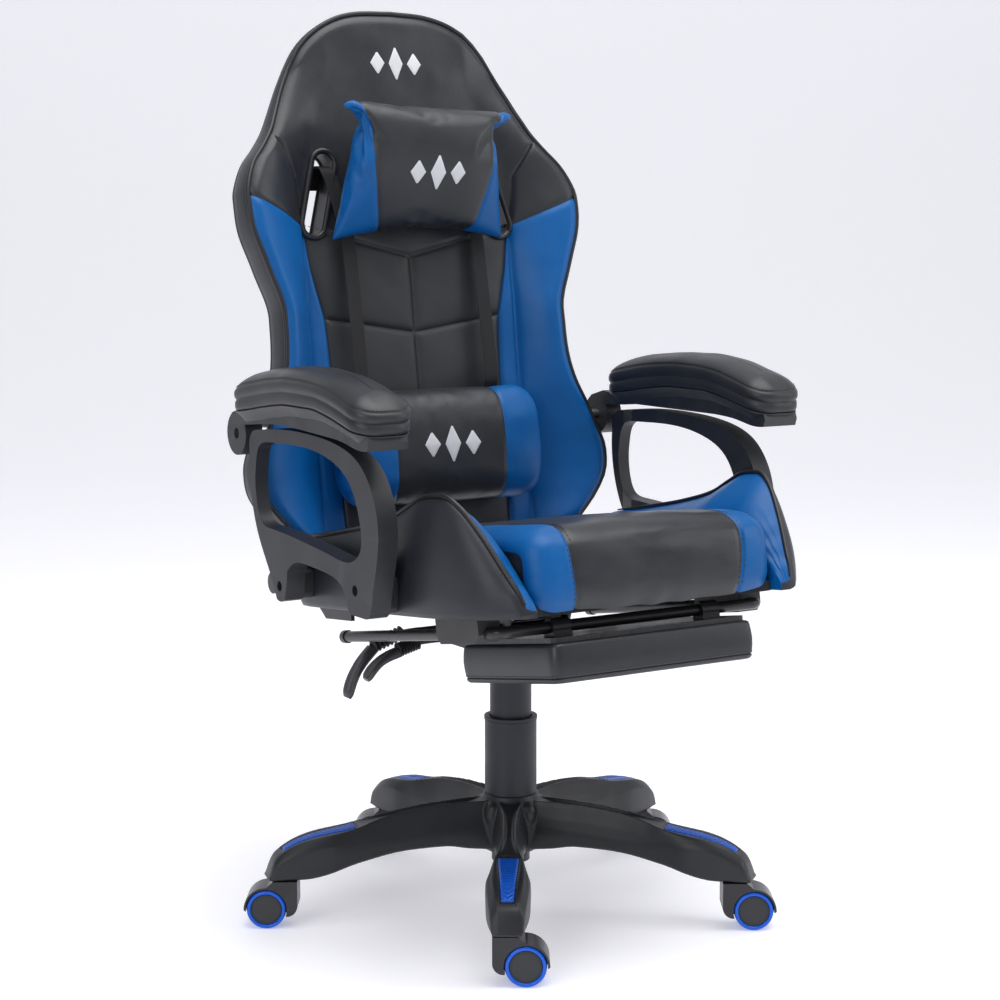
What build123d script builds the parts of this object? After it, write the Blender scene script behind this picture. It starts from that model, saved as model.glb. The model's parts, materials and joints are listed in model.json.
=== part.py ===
from build123d import *
import math
import os

# Racing-style office chair, millimetres.
# Origin: on the floor under the gas column. +Z is up, the seat faces -Y.

# Star base and casters
LEG_COUNT = 5
FIRST_LEG_ANGLE = -122.95
STEM_CIRCLE_R = 301.0
LEG_TIP_R = 324.0
LEG_TIP_Z = 62.0
HUB_TOP_Z = 150.0
HUB_BOTTOM_Z = 74.0
LEG_INSET = 14.0
WHEEL_R = 25.0
HUB_DISC_R = 19.5
CASTER_TRAIL = 21.5
FENDER_R = 28.5
CASTER_HEADINGS = [-32.0, -32.0, -32.0, 148.0, 148.0]
STEM_R = 5.5
STEM_FOOT_Z = 47.0
AXLE_R = 3.0
RUNNING_GAP = 0.05

# Gas column
OUTER_TUBE_R = 25.0
OUTER_TUBE_Z = (60.0, 256.0)
LIFT_TUBE_R = 14.0
ROD_R = 5.0
BUTTON_TOP_Z = 376.0
LOWER_COVER_R = 33.75
UPPER_COVER_R = 27.0

# Mechanism
TILT_PIN_Y = -50.0
TILT_PIN_Z = 378.0
HOUSING_HALF_W = 42.0
KNOB_Y = -52.0

# Seat, drawn in a plane tipped back by SEAT_TILT
SEAT_TILT = 6.0
SEAT_UNDERSIDE_Z = 412.0
SEAT_HALF_W = 250.0
CENTRE_HALF_W = 172.0
BOARD_T = 12.0

# Backrest, drawn in a plane reclined by BACK_TILT
BACK_TILT = 8.25
BACK_REF_Y = 230.0
BACK_REF_Z = 655.0
BACK_CORE_T = 35.0
RECLINE_PIVOT = (165.0, 425.0)
INNER_HALF_W = 162.0

# Armrests
ARM_OUTER_X = 290.0
ARM_FRAME_T = 26.0
PAD_CENTRE_X = 285.0
KNUCKLE_Y = 197.0
KNUCKLE_Z = 618.0
ARM_BOLTS = [(-118, 458), (82, 435)]

# Footrest, drawn in a plane that follows its rails
RAIL_TILT = 9.8
RAIL_R = 7.0
RAIL_HALF_W = 190.0
CROSSBAR_Y = -272.0
CROSSBAR_Z = 422.0
RAIL_LENGTH = 375.0
FOOT_PAD_HALF_W = 144.0

os.makedirs("parts", exist_ok=True)


def direction(angle):
    """Unit vector in the floor plane at an angle in degrees from +X."""
    return Vector(math.cos(math.radians(angle)), math.sin(math.radians(angle)), 0)


def side_plane(x, tilt=0.0, y=0.0, z=0.0):
    """Plane seen from the +X side: local x runs to the rear, tipped down by tilt degrees."""
    run = Vector(0, math.cos(math.radians(tilt)), -math.sin(math.radians(tilt)))
    return Plane(origin=(x, y, z), x_dir=run, z_dir=(1, 0, 0))


def tilted_plane(tilt, y, z):
    """Plane whose local x is +X, local y runs to the rear, tipped down by tilt degrees."""
    up = Vector(0, math.sin(math.radians(tilt)), math.cos(math.radians(tilt)))
    return Plane(origin=(0, y, z), x_dir=(1, 0, 0), z_dir=up)


# ---------------------------------------------------------------- star base

def leg_outline():
    """Side view of one leg: x is the radius from the column, y is the height."""
    Spline((0, 144), (54, 143.5), (105, 142), (164, 134), (208, 122.5))
    Line((208, 122.5), (306, 96.5))
    Spline((306, 96.5), (316, 86), (LEG_TIP_R, LEG_TIP_Z))
    Line((LEG_TIP_R, LEG_TIP_Z), (281, LEG_TIP_Z))
    Spline((281, LEG_TIP_Z), (209, 76), (152, 85), (93, 87), (60, 82), (0, HUB_BOTTOM_Z))
    Line((0, HUB_BOTTOM_Z), (0, 144))


pad_slope = math.degrees(math.atan2(122.5 - 96.5, 306 - 208))
pad_plane = Plane(
    origin=(257, 0, 109.5),
    x_dir=(math.cos(math.radians(pad_slope)), 0, -math.sin(math.radians(pad_slope))),
    z_dir=(math.sin(math.radians(pad_slope)), 0, math.cos(math.radians(pad_slope))),
)

with BuildPart() as leg_pad:
    with BuildSketch(pad_plane.offset(-2)):
        with BuildLine():
            Polyline((-48, -13), (-48, 13), (46, 7.5), (46, -7.5), close=True)
        make_face()
        fillet(vertices(), 2)
    extrude(amount=2.8)

# Plan of one leg, narrower at the top so that its sides are chamfered.
with BuildPart() as leg_plan:
    for level, inset in ((LEG_TIP_Z - 2, 0), (HUB_TOP_Z, LEG_INSET)):
        with BuildSketch(Plane.XY.offset(level)):
            with BuildLine():
                edge = Spline(
                    (-2, 22 - inset), (70, 19 - inset), (150, 17 - inset), (205, 21 - inset),
                    (246, 27.5 - inset), (295, 23.5 - inset), (LEG_TIP_R + 5, 19 - inset),
                )
                mirror(edge, about=Plane.XZ)
                Line((-2, 22 - inset), (-2, inset - 22))
                Line((LEG_TIP_R + 5, 19 - inset), (LEG_TIP_R + 5, inset - 19))
            make_face()
    loft(ruled=True)

with BuildPart() as leg:
    with BuildSketch(Plane.XZ):
        with BuildLine():
            leg_outline()
        make_face()
    extrude(amount=40, both=True)
    add(leg_plan.part, mode=Mode.INTERSECT)
    add(leg_pad.part, mode=Mode.SUBTRACT)
    with Locations((STEM_CIRCLE_R, 0, LEG_TIP_Z)):
        stem_align = (Align.CENTER, Align.CENTER, Align.MIN)
        Cylinder(STEM_R + RUNNING_GAP, 26, align=stem_align, mode=Mode.SUBTRACT)

with BuildPart() as star_base:
    with PolarLocations(0, LEG_COUNT, start_angle=FIRST_LEG_ANGLE):
        add(leg.part)
    with BuildSketch(Plane.XZ):
        with BuildLine():
            Polyline(
                (0, HUB_BOTTOM_Z), (33, HUB_BOTTOM_Z), (36, 78), (45, 122), (38, HUB_TOP_Z), (0, HUB_TOP_Z),
                close=True,
            )
        make_face()
    revolve(axis=Axis.Z)
    with Locations((0, 0, HUB_BOTTOM_Z - 20)):
        Cylinder(OUTER_TUBE_R, 140, align=(Align.CENTER, Align.CENTER, Align.MIN), mode=Mode.SUBTRACT)
star_base.part.label = "star_base"
export_step(star_base.part, "parts/star_base.step")

with BuildPart() as leg_pads:
    with PolarLocations(0, LEG_COUNT, start_angle=FIRST_LEG_ANGLE):
        add(leg_pad.part)
leg_pads.part.label = "leg_pads"
export_step(leg_pads.part, "parts/leg_pads.step")


# ---------------------------------------------------------------- casters

def caster(number, leg_angle, heading):
    """Twin-wheel caster: hood, stem and axle, and two wheels that turn on the axle."""
    stem_point = direction(leg_angle) * STEM_CIRCLE_R
    sideways = direction(heading).cross(Vector(0, 0, 1))
    side = Plane(origin=stem_point, x_dir=direction(heading), z_dir=sideways)
    floor = Plane(origin=stem_point, x_dir=direction(heading), z_dir=(0, 0, 1))
    wheel_centre = (CASTER_TRAIL, WHEEL_R)
    fender_end = CASTER_TRAIL + FENDER_R

    with BuildPart() as pins:
        with BuildSketch(floor.offset(STEM_FOOT_Z)):
            Circle(STEM_R)
        extrude(amount=LEG_TIP_Z + 24 - STEM_FOOT_Z)
        with BuildSketch(side):
            with Locations(wheel_centre):
                Circle(AXLE_R)
        extrude(amount=17, both=True)
    pins.part.label = f"caster_{number}_pins"
    export_step(pins.part, f"parts/caster_{number}_pins.step")

    with BuildPart() as hood:
        with BuildSketch(side):
            with BuildLine():
                Line((-18, 61), (-18, 30))
                ThreePointArc((-18, 30), (-14, 20), (-6, 16))
                Line((-6, 16), (40, 16))
                Line((40, 16), (fender_end, WHEEL_R))
                ThreePointArc((fender_end, WHEEL_R), (41.65, 45.15), (CASTER_TRAIL, WHEEL_R + FENDER_R))
                Line((CASTER_TRAIL, WHEEL_R + FENDER_R), (13, 61))
                Line((13, 61), (-18, 61))
            make_face()
        extrude(amount=21, both=True)
        for side_offset in (3.4, -3.4):
            with BuildSketch(side.offset(side_offset)):
                with Locations(wheel_centre):
                    Circle(WHEEL_R + 1)
            extrude(amount=math.copysign(20, side_offset), mode=Mode.SUBTRACT)
        add(pins.part, mode=Mode.SUBTRACT)
    hood.part.label = f"caster_{number}_hood"
    export_step(hood.part, f"parts/caster_{number}_hood.step")

    for letter, inner in (("a", 4.0), ("b", -4.0)):
        face_plane = side.offset(inner)
        outward = math.copysign(1, inner)
        with BuildPart() as tyre:
            with BuildSketch(face_plane):
                with Locations(wheel_centre):
                    Circle(WHEEL_R)
                    Circle(HUB_DISC_R, mode=Mode.SUBTRACT)
            extrude(amount=17 * outward)
            fillet(tyre.edges().filter_by(GeomType.CIRCLE).sort_by(SortBy.RADIUS)[-2:], 3)
        with BuildPart() as wheel:
            with BuildSketch(face_plane):
                with Locations(wheel_centre):
                    Circle(HUB_DISC_R)
            extrude(amount=16 * outward)
            with BuildSketch(face_plane):
                with Locations(wheel_centre):
                    Circle(AXLE_R + RUNNING_GAP)
            extrude(amount=13.5 * outward, mode=Mode.SUBTRACT)
        wheel_solids = Compound(label=f"caster_{number}_wheel_{letter}", children=[wheel.part, tyre.part])
        export_step(wheel_solids, f"parts/caster_{number}_wheel_{letter}.step")


for index, caster_heading in enumerate(CASTER_HEADINGS):
    caster(index + 1, FIRST_LEG_ANGLE + index * 360 / LEG_COUNT, caster_heading)


# ---------------------------------------------------------------- gas column

with BuildPart() as gas_outer_tube:
    with BuildSketch(Plane.XY.offset(OUTER_TUBE_Z[0])):
        Circle(OUTER_TUBE_R)
        Circle(ROD_R + RUNNING_GAP, mode=Mode.SUBTRACT)
    extrude(amount=4)
    with BuildSketch(Plane.XY.offset(OUTER_TUBE_Z[0] + 4)):
        Circle(OUTER_TUBE_R)
        Circle(22, mode=Mode.SUBTRACT)
    extrude(amount=OUTER_TUBE_Z[1] - OUTER_TUBE_Z[0] - 4)
with BuildPart() as guide_bush:
    with BuildSketch(Plane.XY.offset(OUTER_TUBE_Z[1] - 66)):
        Circle(22)
        Circle(LIFT_TUBE_R + RUNNING_GAP, mode=Mode.SUBTRACT)
    extrude(amount=66)
tube_solids = Compound(label="gas_outer_tube", children=[gas_outer_tube.part, guide_bush.part])
export_step(tube_solids, "parts/gas_outer_tube.step")

with BuildPart() as thrust_bearing:
    with BuildSketch(Plane.XY.offset(OUTER_TUBE_Z[0] + 4)):
        Circle(16)
        Circle(ROD_R + RUNNING_GAP, mode=Mode.SUBTRACT)
    extrude(amount=6)
thrust_bearing.part.label = "thrust_bearing"
export_step(thrust_bearing.part, "parts/thrust_bearing.step")

with BuildPart() as column_cover_lower:
    with BuildSketch(Plane.XZ):
        with BuildLine():
            Polyline(
                (31.25, HUB_TOP_Z), (LOWER_COVER_R, HUB_TOP_Z), (LOWER_COVER_R, 247), (34.6, 247),
                (34.6, 252), (28, 252), (28, 249), (31.25, 249), close=True,
            )
        make_face()
    revolve(axis=Axis.Z)
column_cover_lower.part.label = "column_cover_lower"
export_step(column_cover_lower.part, "parts/column_cover_lower.step")

# The rod turns on the thrust bearing; its piston stays inside the lift tube.
with BuildPart() as rod:
    with BuildSketch(Plane.XY.offset(57)):
        Circle(ROD_R)
    extrude(amount=113)
    with BuildSketch(Plane.XY.offset(OUTER_TUBE_Z[0] + 10.3)):
        Circle(11)
    extrude(amount=4)
    with BuildSketch(Plane.XY.offset(170)):
        Circle(11.8)
    extrude(amount=9)
with BuildPart() as rod_clip:
    with BuildSketch(Plane.XY.offset(57.5)):
        Circle(9)
        Circle(ROD_R, mode=Mode.SUBTRACT)
    extrude(amount=2)
rod_solids = Compound(label="gas_piston_rod", children=[rod.part, rod_clip.part])
export_step(rod_solids, "parts/gas_piston_rod.step")

with BuildPart() as gas_lift_tube:
    with BuildSketch(Plane.XZ):
        with BuildLine():
            Polyline(
                (ROD_R + RUNNING_GAP, 150), (LIFT_TUBE_R, 150), (LIFT_TUBE_R, 338), (13.2, 371), (4.1, 371),
                (4.1, 320), (12, 310), (12, 158), (ROD_R + RUNNING_GAP, 158), close=True,
            )
        make_face()
    revolve(axis=Axis.Z)
gas_lift_tube.part.label = "gas_lift_tube"
export_step(gas_lift_tube.part, "parts/gas_lift_tube.step")

with BuildPart() as gas_release_button:
    with BuildSketch(Plane.XY.offset(330)):
        Circle(4.05)
    extrude(amount=BUTTON_TOP_Z - 330)
gas_release_button.part.label = "gas_release_button"
export_step(gas_release_button.part, "parts/gas_release_button.step")

with BuildPart() as column_cover_upper:
    with BuildSketch(Plane.XZ):
        with BuildLine():
            Polyline(
                (25.6, 225), (UPPER_COVER_R, 225), (UPPER_COVER_R, 330), (31, 336), (25.6, 336), close=True
            )
        make_face()
    revolve(axis=Axis.Z)
column_cover_upper.part.label = "column_cover_upper"
export_step(column_cover_upper.part, "parts/column_cover_upper.step")


# ---------------------------------------------------------------- mechanism

HEIGHT_LEVER_Y = 106.0
HEIGHT_LEVER_Z = 354.0
TILT_LEVER_Y = 80.0
TILT_LEVER_Z = 344.0
LEVER_ROD_R = 4.0

# Pressed-steel box on the taper of the lift tube; its top falls away to the rear to leave room to rock.
with BuildPart() as mechanism_housing:
    with BuildSketch(Plane.YZ):
        with BuildLine():
            Polyline(
                (-72, 344), (-66, 336), (120, 336), (120, 361), (60, 365), (20, 376), (-38, 388),
                (-60, 388),
                (-72, 380), close=True,
            )
        make_face()
    extrude(amount=HOUSING_HALF_W, both=True)
    with BuildSketch(Plane.YZ):
        with BuildLine():
            Polyline((-68, 346), (-64, 340), (116, 340), (116, 400), (-68, 400), close=True)
        make_face()
    extrude(amount=HOUSING_HALF_W - 4, both=True, mode=Mode.SUBTRACT)
    with BuildSketch(Plane.XY.offset(336)):
        Circle(24)
    extrude(amount=30)
    with BuildSketch(Plane.XZ):
        with BuildLine():
            Polyline((0, 330), (LIFT_TUBE_R, 330), (LIFT_TUBE_R, 338), (13.2, 371), (0, 371), close=True)
        make_face()
    revolve(axis=Axis.Z, mode=Mode.SUBTRACT)
    with BuildSketch(Plane.YZ):
        with Locations((TILT_PIN_Y, TILT_PIN_Z)):
            Circle(6)
    extrude(amount=HOUSING_HALF_W + 5, both=True, mode=Mode.SUBTRACT)
    with BuildSketch(Plane.YZ):
        with Locations((HEIGHT_LEVER_Y, HEIGHT_LEVER_Z), (TILT_LEVER_Y, TILT_LEVER_Z)):
            Circle(LEVER_ROD_R + 2.5)
    extrude(amount=-HOUSING_HALF_W - 5, mode=Mode.SUBTRACT)
mechanism_housing.part.label = "mechanism_housing"
export_step(mechanism_housing.part, "parts/mechanism_housing.step")

with BuildPart() as tilt_pin:
    with BuildSketch(Plane.YZ):
        with Locations((TILT_PIN_Y, TILT_PIN_Z)):
            Circle(6)
    extrude(amount=52, both=True)
tilt_pin.part.label = "tilt_pin"
export_step(tilt_pin.part, "parts/tilt_pin.step")

with BuildPart() as tension_knob:
    with BuildSketch(Plane.XY.offset(312)):
        with Locations((0, KNOB_Y)):
            Circle(20)
            with PolarLocations(22.5, 10):
                Circle(4, mode=Mode.SUBTRACT)
    extrude(amount=21)
    with BuildSketch(Plane.XY.offset(333)):
        with Locations((0, KNOB_Y)):
            Circle(5)
    extrude(amount=2.7)
    fillet(tension_knob.faces().sort_by(Axis.Z)[0].edges(), 1.5)
tension_knob.part.label = "tension_knob"
export_step(tension_knob.part, "parts/tension_knob.step")

# Coil spring of the rocking action, kept inside the housing.
with BuildPart() as tilt_spring:
    with BuildSketch(Plane.XY.offset(341)):
        with Locations((0, 46)):
            Circle(13)
            Circle(9, mode=Mode.SUBTRACT)
    extrude(amount=30)
tilt_spring.part.label = "tilt_spring"
export_step(tilt_spring.part, "parts/tilt_spring.step")


def lever(name, y, pivot_z, elbow, blade_start, blade_tip, blade_width, finger):
    """Bent steel rod in a ribbed rubber sleeve, with a moulded paddle on its end."""
    section = Plane.XZ.offset(-y)
    run = Vector(blade_start[0] - elbow[0], 0, blade_start[1] - elbow[1])
    sleeve_length = run.length
    sleeve_plane = Plane(origin=(elbow[0], y, elbow[1]), x_dir=run, z_dir=(0, 1, 0))
    with BuildPart() as arm:
        with BuildSketch(Plane.YZ.offset(-HOUSING_HALF_W + 9)):
            with Locations((y, pivot_z)):
                Circle(LEVER_ROD_R)
        extrude(amount=elbow[0] + HOUSING_HALF_W - 9)
        # Cross pin that rocks in the hole of the housing wall.
        with Locations((2 - HOUSING_HALF_W, y, pivot_z)):
            Cylinder(2, 12, rotation=(90, 0, 0))
        with BuildSketch(Plane(origin=(elbow[0], y, elbow[1]), z_dir=run)):
            Circle(LEVER_ROD_R)
        extrude(amount=sleeve_length)
        with Locations((elbow[0], y, elbow[1])):
            Sphere(LEVER_ROD_R)
        with BuildSketch(section):
            with BuildLine():
                root_top = (blade_start[0] - 3, blade_start[1] + 7)
                root_bottom = (blade_start[0] + 3, blade_start[1] - 7)
                tip_top = (blade_tip[0] - 4, blade_tip[1])
                tip_bottom = (blade_tip[0] + 6, blade_tip[1] - 1)
                bow = ((blade_start[0] + blade_tip[0]) / 2 - 8, (blade_start[1] + blade_tip[1]) / 2 + 4)
                ThreePointArc(root_top, bow, tip_top)
                Line(tip_top, tip_bottom)
                ThreePointArc(tip_bottom, (bow[0] + 14, bow[1] - 7), root_bottom)
                Line(root_bottom, root_top)
            make_face()
        extrude(amount=blade_width / 2, both=True)
        if finger:
            # Crank inside the housing: it runs forward beside the taper and ends over the gas button.
            inner_x = 9 - HOUSING_HALF_W
            with Locations((inner_x, y / 2 - 3, pivot_z)):
                Box(6, y + 6, 8)
            with Locations((inner_x, 0, (pivot_z + BUTTON_TOP_Z + 4) / 2)):
                Box(6, 12, BUTTON_TOP_Z + 4 - pivot_z)
            with Locations(((inner_x + 6) / 2, 0, BUTTON_TOP_Z + 2.25)):
                Box(6 - inner_x, 12, 3.5)
    ribs = 8
    pitch = (sleeve_length - 2) / ribs
    with BuildPart() as sleeve:
        with BuildSketch(sleeve_plane):
            with BuildLine():
                rim = [(1, LEVER_ROD_R)]
                for rib in range(ribs):
                    rim += [(1 + rib * pitch, 7), (1 + (rib + 0.5) * pitch, 10)]
                rim += [(1 + ribs * pitch, 7), (1 + ribs * pitch, LEVER_ROD_R)]
                Polyline(*rim, close=True)
            make_face()
        revolve(axis=Axis((elbow[0], y, elbow[1]), run))
        add(arm.part, mode=Mode.SUBTRACT)
    both = Compound(label=name, children=[arm.part, sleeve.part])
    export_step(both, f"parts/{name}.step")


height_elbow = (-100, HEIGHT_LEVER_Z)
lever("height_lever", HEIGHT_LEVER_Y, HEIGHT_LEVER_Z, height_elbow, (-147, 339), (-184, 274), 24, True)
tilt_elbow = (-92, TILT_LEVER_Z)
lever("tilt_lever", TILT_LEVER_Y, TILT_LEVER_Z, tilt_elbow, (-124, 336), (-171, 302), 22, False)


# ---------------------------------------------------------------- seat

seat_plane = tilted_plane(SEAT_TILT, 0, SEAT_UNDERSIDE_Z)


def seat_side(x):
    """Side view of the seat at x: local x runs to the rear, local y is up from its underside."""
    return side_plane(x, SEAT_TILT, 0, SEAT_UNDERSIDE_Z)


def in_side_view(plane, y, z):
    """The point (y, z) as local coordinates of a side view."""
    local = plane.to_local_coords(Vector(0, y, z))
    return (local.X, local.Y)


tilt_pin_in_seat = in_side_view(seat_side(0), TILT_PIN_Y, TILT_PIN_Z)
pivot_in_seat = in_side_view(seat_side(0), *RECLINE_PIVOT)


with BuildPart() as seat_plate:
    with BuildSketch(seat_plane.offset(-3)):
        with Locations((0, 5)):
            RectangleRounded(190, 210, 12)
    extrude(amount=3)
    for inner in (HOUSING_HALF_W + 1, -HOUSING_HALF_W - 5):
        with BuildSketch(seat_side(inner)):
            with BuildLine():
                Polyline((-80, -3), (-12, -3), (-33, -48), (-59, -48), close=True)
            make_face()
            with Locations(tilt_pin_in_seat):
                Circle(6 + RUNNING_GAP, mode=Mode.SUBTRACT)
        extrude(amount=4)
seat_plate.part.label = "seat_plate"
export_step(seat_plate.part, "parts/seat_plate.step")

with BuildPart() as seat_board:
    with BuildSketch(seat_plane):
        with BuildLine():
            Polyline(
                (-222, 128), (-222, -240), (-176, -318), (176, -318), (222, -240), (222, 128), close=True
            )
        make_face()
        fillet(vertices(), 25)
    extrude(amount=BOARD_T)
seat_board.part.label = "seat_board"
export_step(seat_board.part, "parts/seat_board.step")

with BuildPart() as seat_cushion:
    with BuildSketch(seat_side(0)):
        with BuildLine():
            Spline(
                (-330, 0), (-336, 48), (-329, 86), (-304, 102), (-250, 104), (-100, 99), (30, 91),
                (110, 86),
                (130, 66),
            )
            Polyline((130, 66), (130, BOARD_T), (-319, BOARD_T), (-319, 0), (-330, 0))
        make_face()
    extrude(amount=CENTRE_HALF_W, both=True)
    add(seat_board.part, mode=Mode.SUBTRACT)
seat_cushion.part.label = "seat_cushion"
export_step(seat_cushion.part, "parts/seat_cushion.step")

with BuildPart() as arm_bolts:
    for side in (1, -1):
        with BuildSketch(Plane.YZ.offset(side * 236)):
            with Locations(*ARM_BOLTS):
                Circle(4)
        extrude(amount=side * (ARM_OUTER_X - 252))
        with BuildSketch(Plane.YZ.offset(side * (ARM_OUTER_X - 16))):
            with Locations(*ARM_BOLTS):
                Circle(6.5)
                RegularPolygon(3, 6, mode=Mode.SUBTRACT)
        extrude(amount=side * 7)
arm_bolts.part.label = "arm_bolts"
export_step(arm_bolts.part, "parts/arm_bolts.step")

# Raised side wing: side view, plan and cross-section together give its ridge.
with BuildPart() as wing_plan:
    with BuildSketch(seat_plane.offset(-5)):
        with BuildLine():
            Spline((192, -340), (226, -300), (244, -250), (SEAT_HALF_W, -180))
            Polyline(
                (SEAT_HALF_W, -180), (SEAT_HALF_W, 140), (CENTRE_HALF_W, 140), (CENTRE_HALF_W, -340),
                (192, -340),
            )
        make_face()
    extrude(amount=160)

with BuildPart() as wing_section:
    with BuildSketch(Plane.XZ.offset(-200)):
        with BuildLine():
            Polyline(
                (CENTRE_HALF_W, 340), (SEAT_HALF_W, 340), (SEAT_HALF_W, 545), (240, 572), (228, 582),
                (214, 582), (CENTRE_HALF_W, 520), close=True,
            )
        make_face()
    extrude(amount=600)

with BuildPart() as seat_wings:
    with BuildSketch(seat_side(CENTRE_HALF_W)):
        with BuildLine():
            Spline(
                (-331, 0), (-336, 30), (-322, 76), (-290, 112), (-231, 139.5), (-203, 138.5), (-128, 114),
                (0, 95), (110, 86), (128, 70),
            )
            Polyline((128, 70), (128, 0), (-331, 0))
        make_face()
    extrude(amount=SEAT_HALF_W - CENTRE_HALF_W)
    add(wing_plan.part, mode=Mode.INTERSECT)
    add(wing_section.part, mode=Mode.INTERSECT)
    mirror(about=Plane.YZ)
    add(seat_board.part, mode=Mode.SUBTRACT)
    add(arm_bolts.part, mode=Mode.SUBTRACT)
seat_wings.part.label = "seat_wings"
export_step(seat_wings.part, "parts/seat_wings.step")


# ---------------------------------------------------------------- recliner

with BuildPart() as recliner_plates:
    with BuildSketch(seat_side(197)):
        with BuildLine():
            Polyline((60, 0), (60, -20), (130, -20), (180, 20), (145, 42), (134, 0), close=True)
        make_face()
        with Locations(pivot_in_seat):
            Circle(20)
    extrude(amount=5)
    with BuildSketch(Plane.YZ.offset(186)):
        with Locations(RECLINE_PIVOT):
            Circle(8)
    extrude(amount=20)
    mirror(about=Plane.YZ)
recliner_plates.part.label = "recliner_plates"
export_step(recliner_plates.part, "parts/recliner_plates.step")

with BuildPart() as recliner_covers:
    with BuildSketch(Plane.YZ.offset(203)):
        with Locations(RECLINE_PIVOT):
            Circle(26)
    extrude(amount=19)
    fillet(recliner_covers.faces().sort_by(Axis.X)[-1].edges(), 5)
    with BuildSketch(Plane.YZ.offset(203)):
        with Locations(RECLINE_PIVOT):
            Circle(8)
    extrude(amount=3, mode=Mode.SUBTRACT)
    with BuildSketch(Plane.YZ.offset(210)):
        with Locations(RECLINE_PIVOT):
            Circle(6 + RUNNING_GAP)
    extrude(amount=20, mode=Mode.SUBTRACT)
    mirror(about=Plane.YZ)
recliner_covers.part.label = "recliner_covers"
export_step(recliner_covers.part, "parts/recliner_covers.step")

with BuildPart() as recline_lever:
    with BuildSketch(Plane.YZ.offset(-210.5)):
        with Locations(RECLINE_PIVOT):
            Circle(6)
    extrude(amount=-44)
    with BuildSketch(Plane.YZ.offset(-252.5)):
        with Locations(RECLINE_PIVOT):
            Circle(14)
        with Locations((118, 458)):
            Circle(9)
        make_hull()
    extrude(amount=-7)
recline_lever.part.label = "recline_lever"
export_step(recline_lever.part, "parts/recline_lever.step")


# ---------------------------------------------------------------- arm frames

with BuildPart() as arm_frame:
    with BuildSketch(Plane.YZ.offset(ARM_OUTER_X - ARM_FRAME_T)):
        with BuildLine():
            Spline(
                (146, 626), (60, 633), (-16, 632), (-87, 624), (-135, 606), (-166, 570), (-176, 530),
                (-166, 475), (-157, 438),
            )
            ThreePointArc((-157, 438), (-152, 431), (-144, 428))
            Line((-144, 428), (-112, 428))
            ThreePointArc((-112, 428), (-103, 431), (-98, 438))
            Spline((-98, 438), (-84, 459), (-48, 469), (2, 472), (44, 468), (60, 456))
            Spline((60, 456), (64, 432), (68, 420))
            ThreePointArc((68, 420), (78, 416), (90, 418))
            Spline((90, 418), (111, 452), (141, 494), (160, 545), (163, 600))
            ThreePointArc((163, 600), (160, 618), (146, 626))
        make_face()
        with BuildLine():
            Spline(
                (146, 575), (143, 533), (130, 511), (100, 505), (0, 498), (-66, 491), (-110, 491),
                (-132, 506),
                (-130, 545), (-105, 585), (-60, 606), (20, 616), (100, 614), (138, 603), periodic=True,
            )
        make_face(mode=Mode.SUBTRACT)
    extrude(amount=ARM_FRAME_T)
    # The rear strut is thinner than the front one.
    with BuildSketch(Plane.XY.offset(476)):
        with BuildLine():
            Polyline((260, 90), (264, 104), (272, 136), (272, 180), (260, 180), close=True)
        make_face()
    extrude(amount=170, mode=Mode.SUBTRACT)
    # Feet run inward to the side of the seat.
    with BuildSketch(Plane.YZ.offset(SEAT_HALF_W)):
        with Locations((-127, 454)):
            RectangleRounded(46, 44, 8)
        with Locations((82, 437)):
            RectangleRounded(34, 36, 8)
    extrude(amount=ARM_OUTER_X - ARM_FRAME_T - SEAT_HALF_W)
    with BuildSketch(Plane.YZ.offset(SEAT_HALF_W)):
        with Locations(*ARM_BOLTS):
            Circle(4)
    extrude(amount=60, mode=Mode.SUBTRACT)
    with BuildSketch(Plane.YZ.offset(ARM_OUTER_X - 16)):
        with Locations(*ARM_BOLTS):
            Circle(6.5)
    extrude(amount=20, mode=Mode.SUBTRACT)

with BuildPart() as arm_frame_right:
    add(arm_frame.part)
arm_frame_right.part.label = "arm_frame_right"
export_step(arm_frame_right.part, "parts/arm_frame_right.step")

with BuildPart() as arm_frame_left:
    mirror(arm_frame.part, about=Plane.YZ)
arm_frame_left.part.label = "arm_frame_left"
export_step(arm_frame_left.part, "parts/arm_frame_left.step")


# ---------------------------------------------------------------- footrest

rail_plane = tilted_plane(RAIL_TILT, CROSSBAR_Y, CROSSBAR_Z)
rail_section_gap = RAIL_R + 0.07


def rail_side(x):
    """Side view in the rails' frame: local x runs back along the rails, local y is up from them."""
    return side_plane(x, RAIL_TILT, CROSSBAR_Y, CROSSBAR_Z)


with BuildPart() as footrest_guides:
    with BuildSketch(rail_side(RAIL_HALF_W - 15)):
        with BuildLine():
            Polyline((16, 60), (16, -1), (24, -10), (104, -10), (112, -1), (112, 60), close=True)
        make_face()
    extrude(amount=30)
    with BuildSketch(Plane(origin=rail_plane.origin, x_dir=(1, 0, 0), z_dir=rail_plane.y_dir)):
        with Locations((RAIL_HALF_W, 0)):
            Circle(rail_section_gap)
    extrude(amount=200, mode=Mode.SUBTRACT)
    with BuildSketch(seat_plane):
        Rectangle(600, 900)
    extrude(amount=200, mode=Mode.SUBTRACT)
    mirror(about=Plane.YZ)
footrest_guides.part.label = "footrest_guides"
export_step(footrest_guides.part, "parts/footrest_guides.step")

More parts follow.
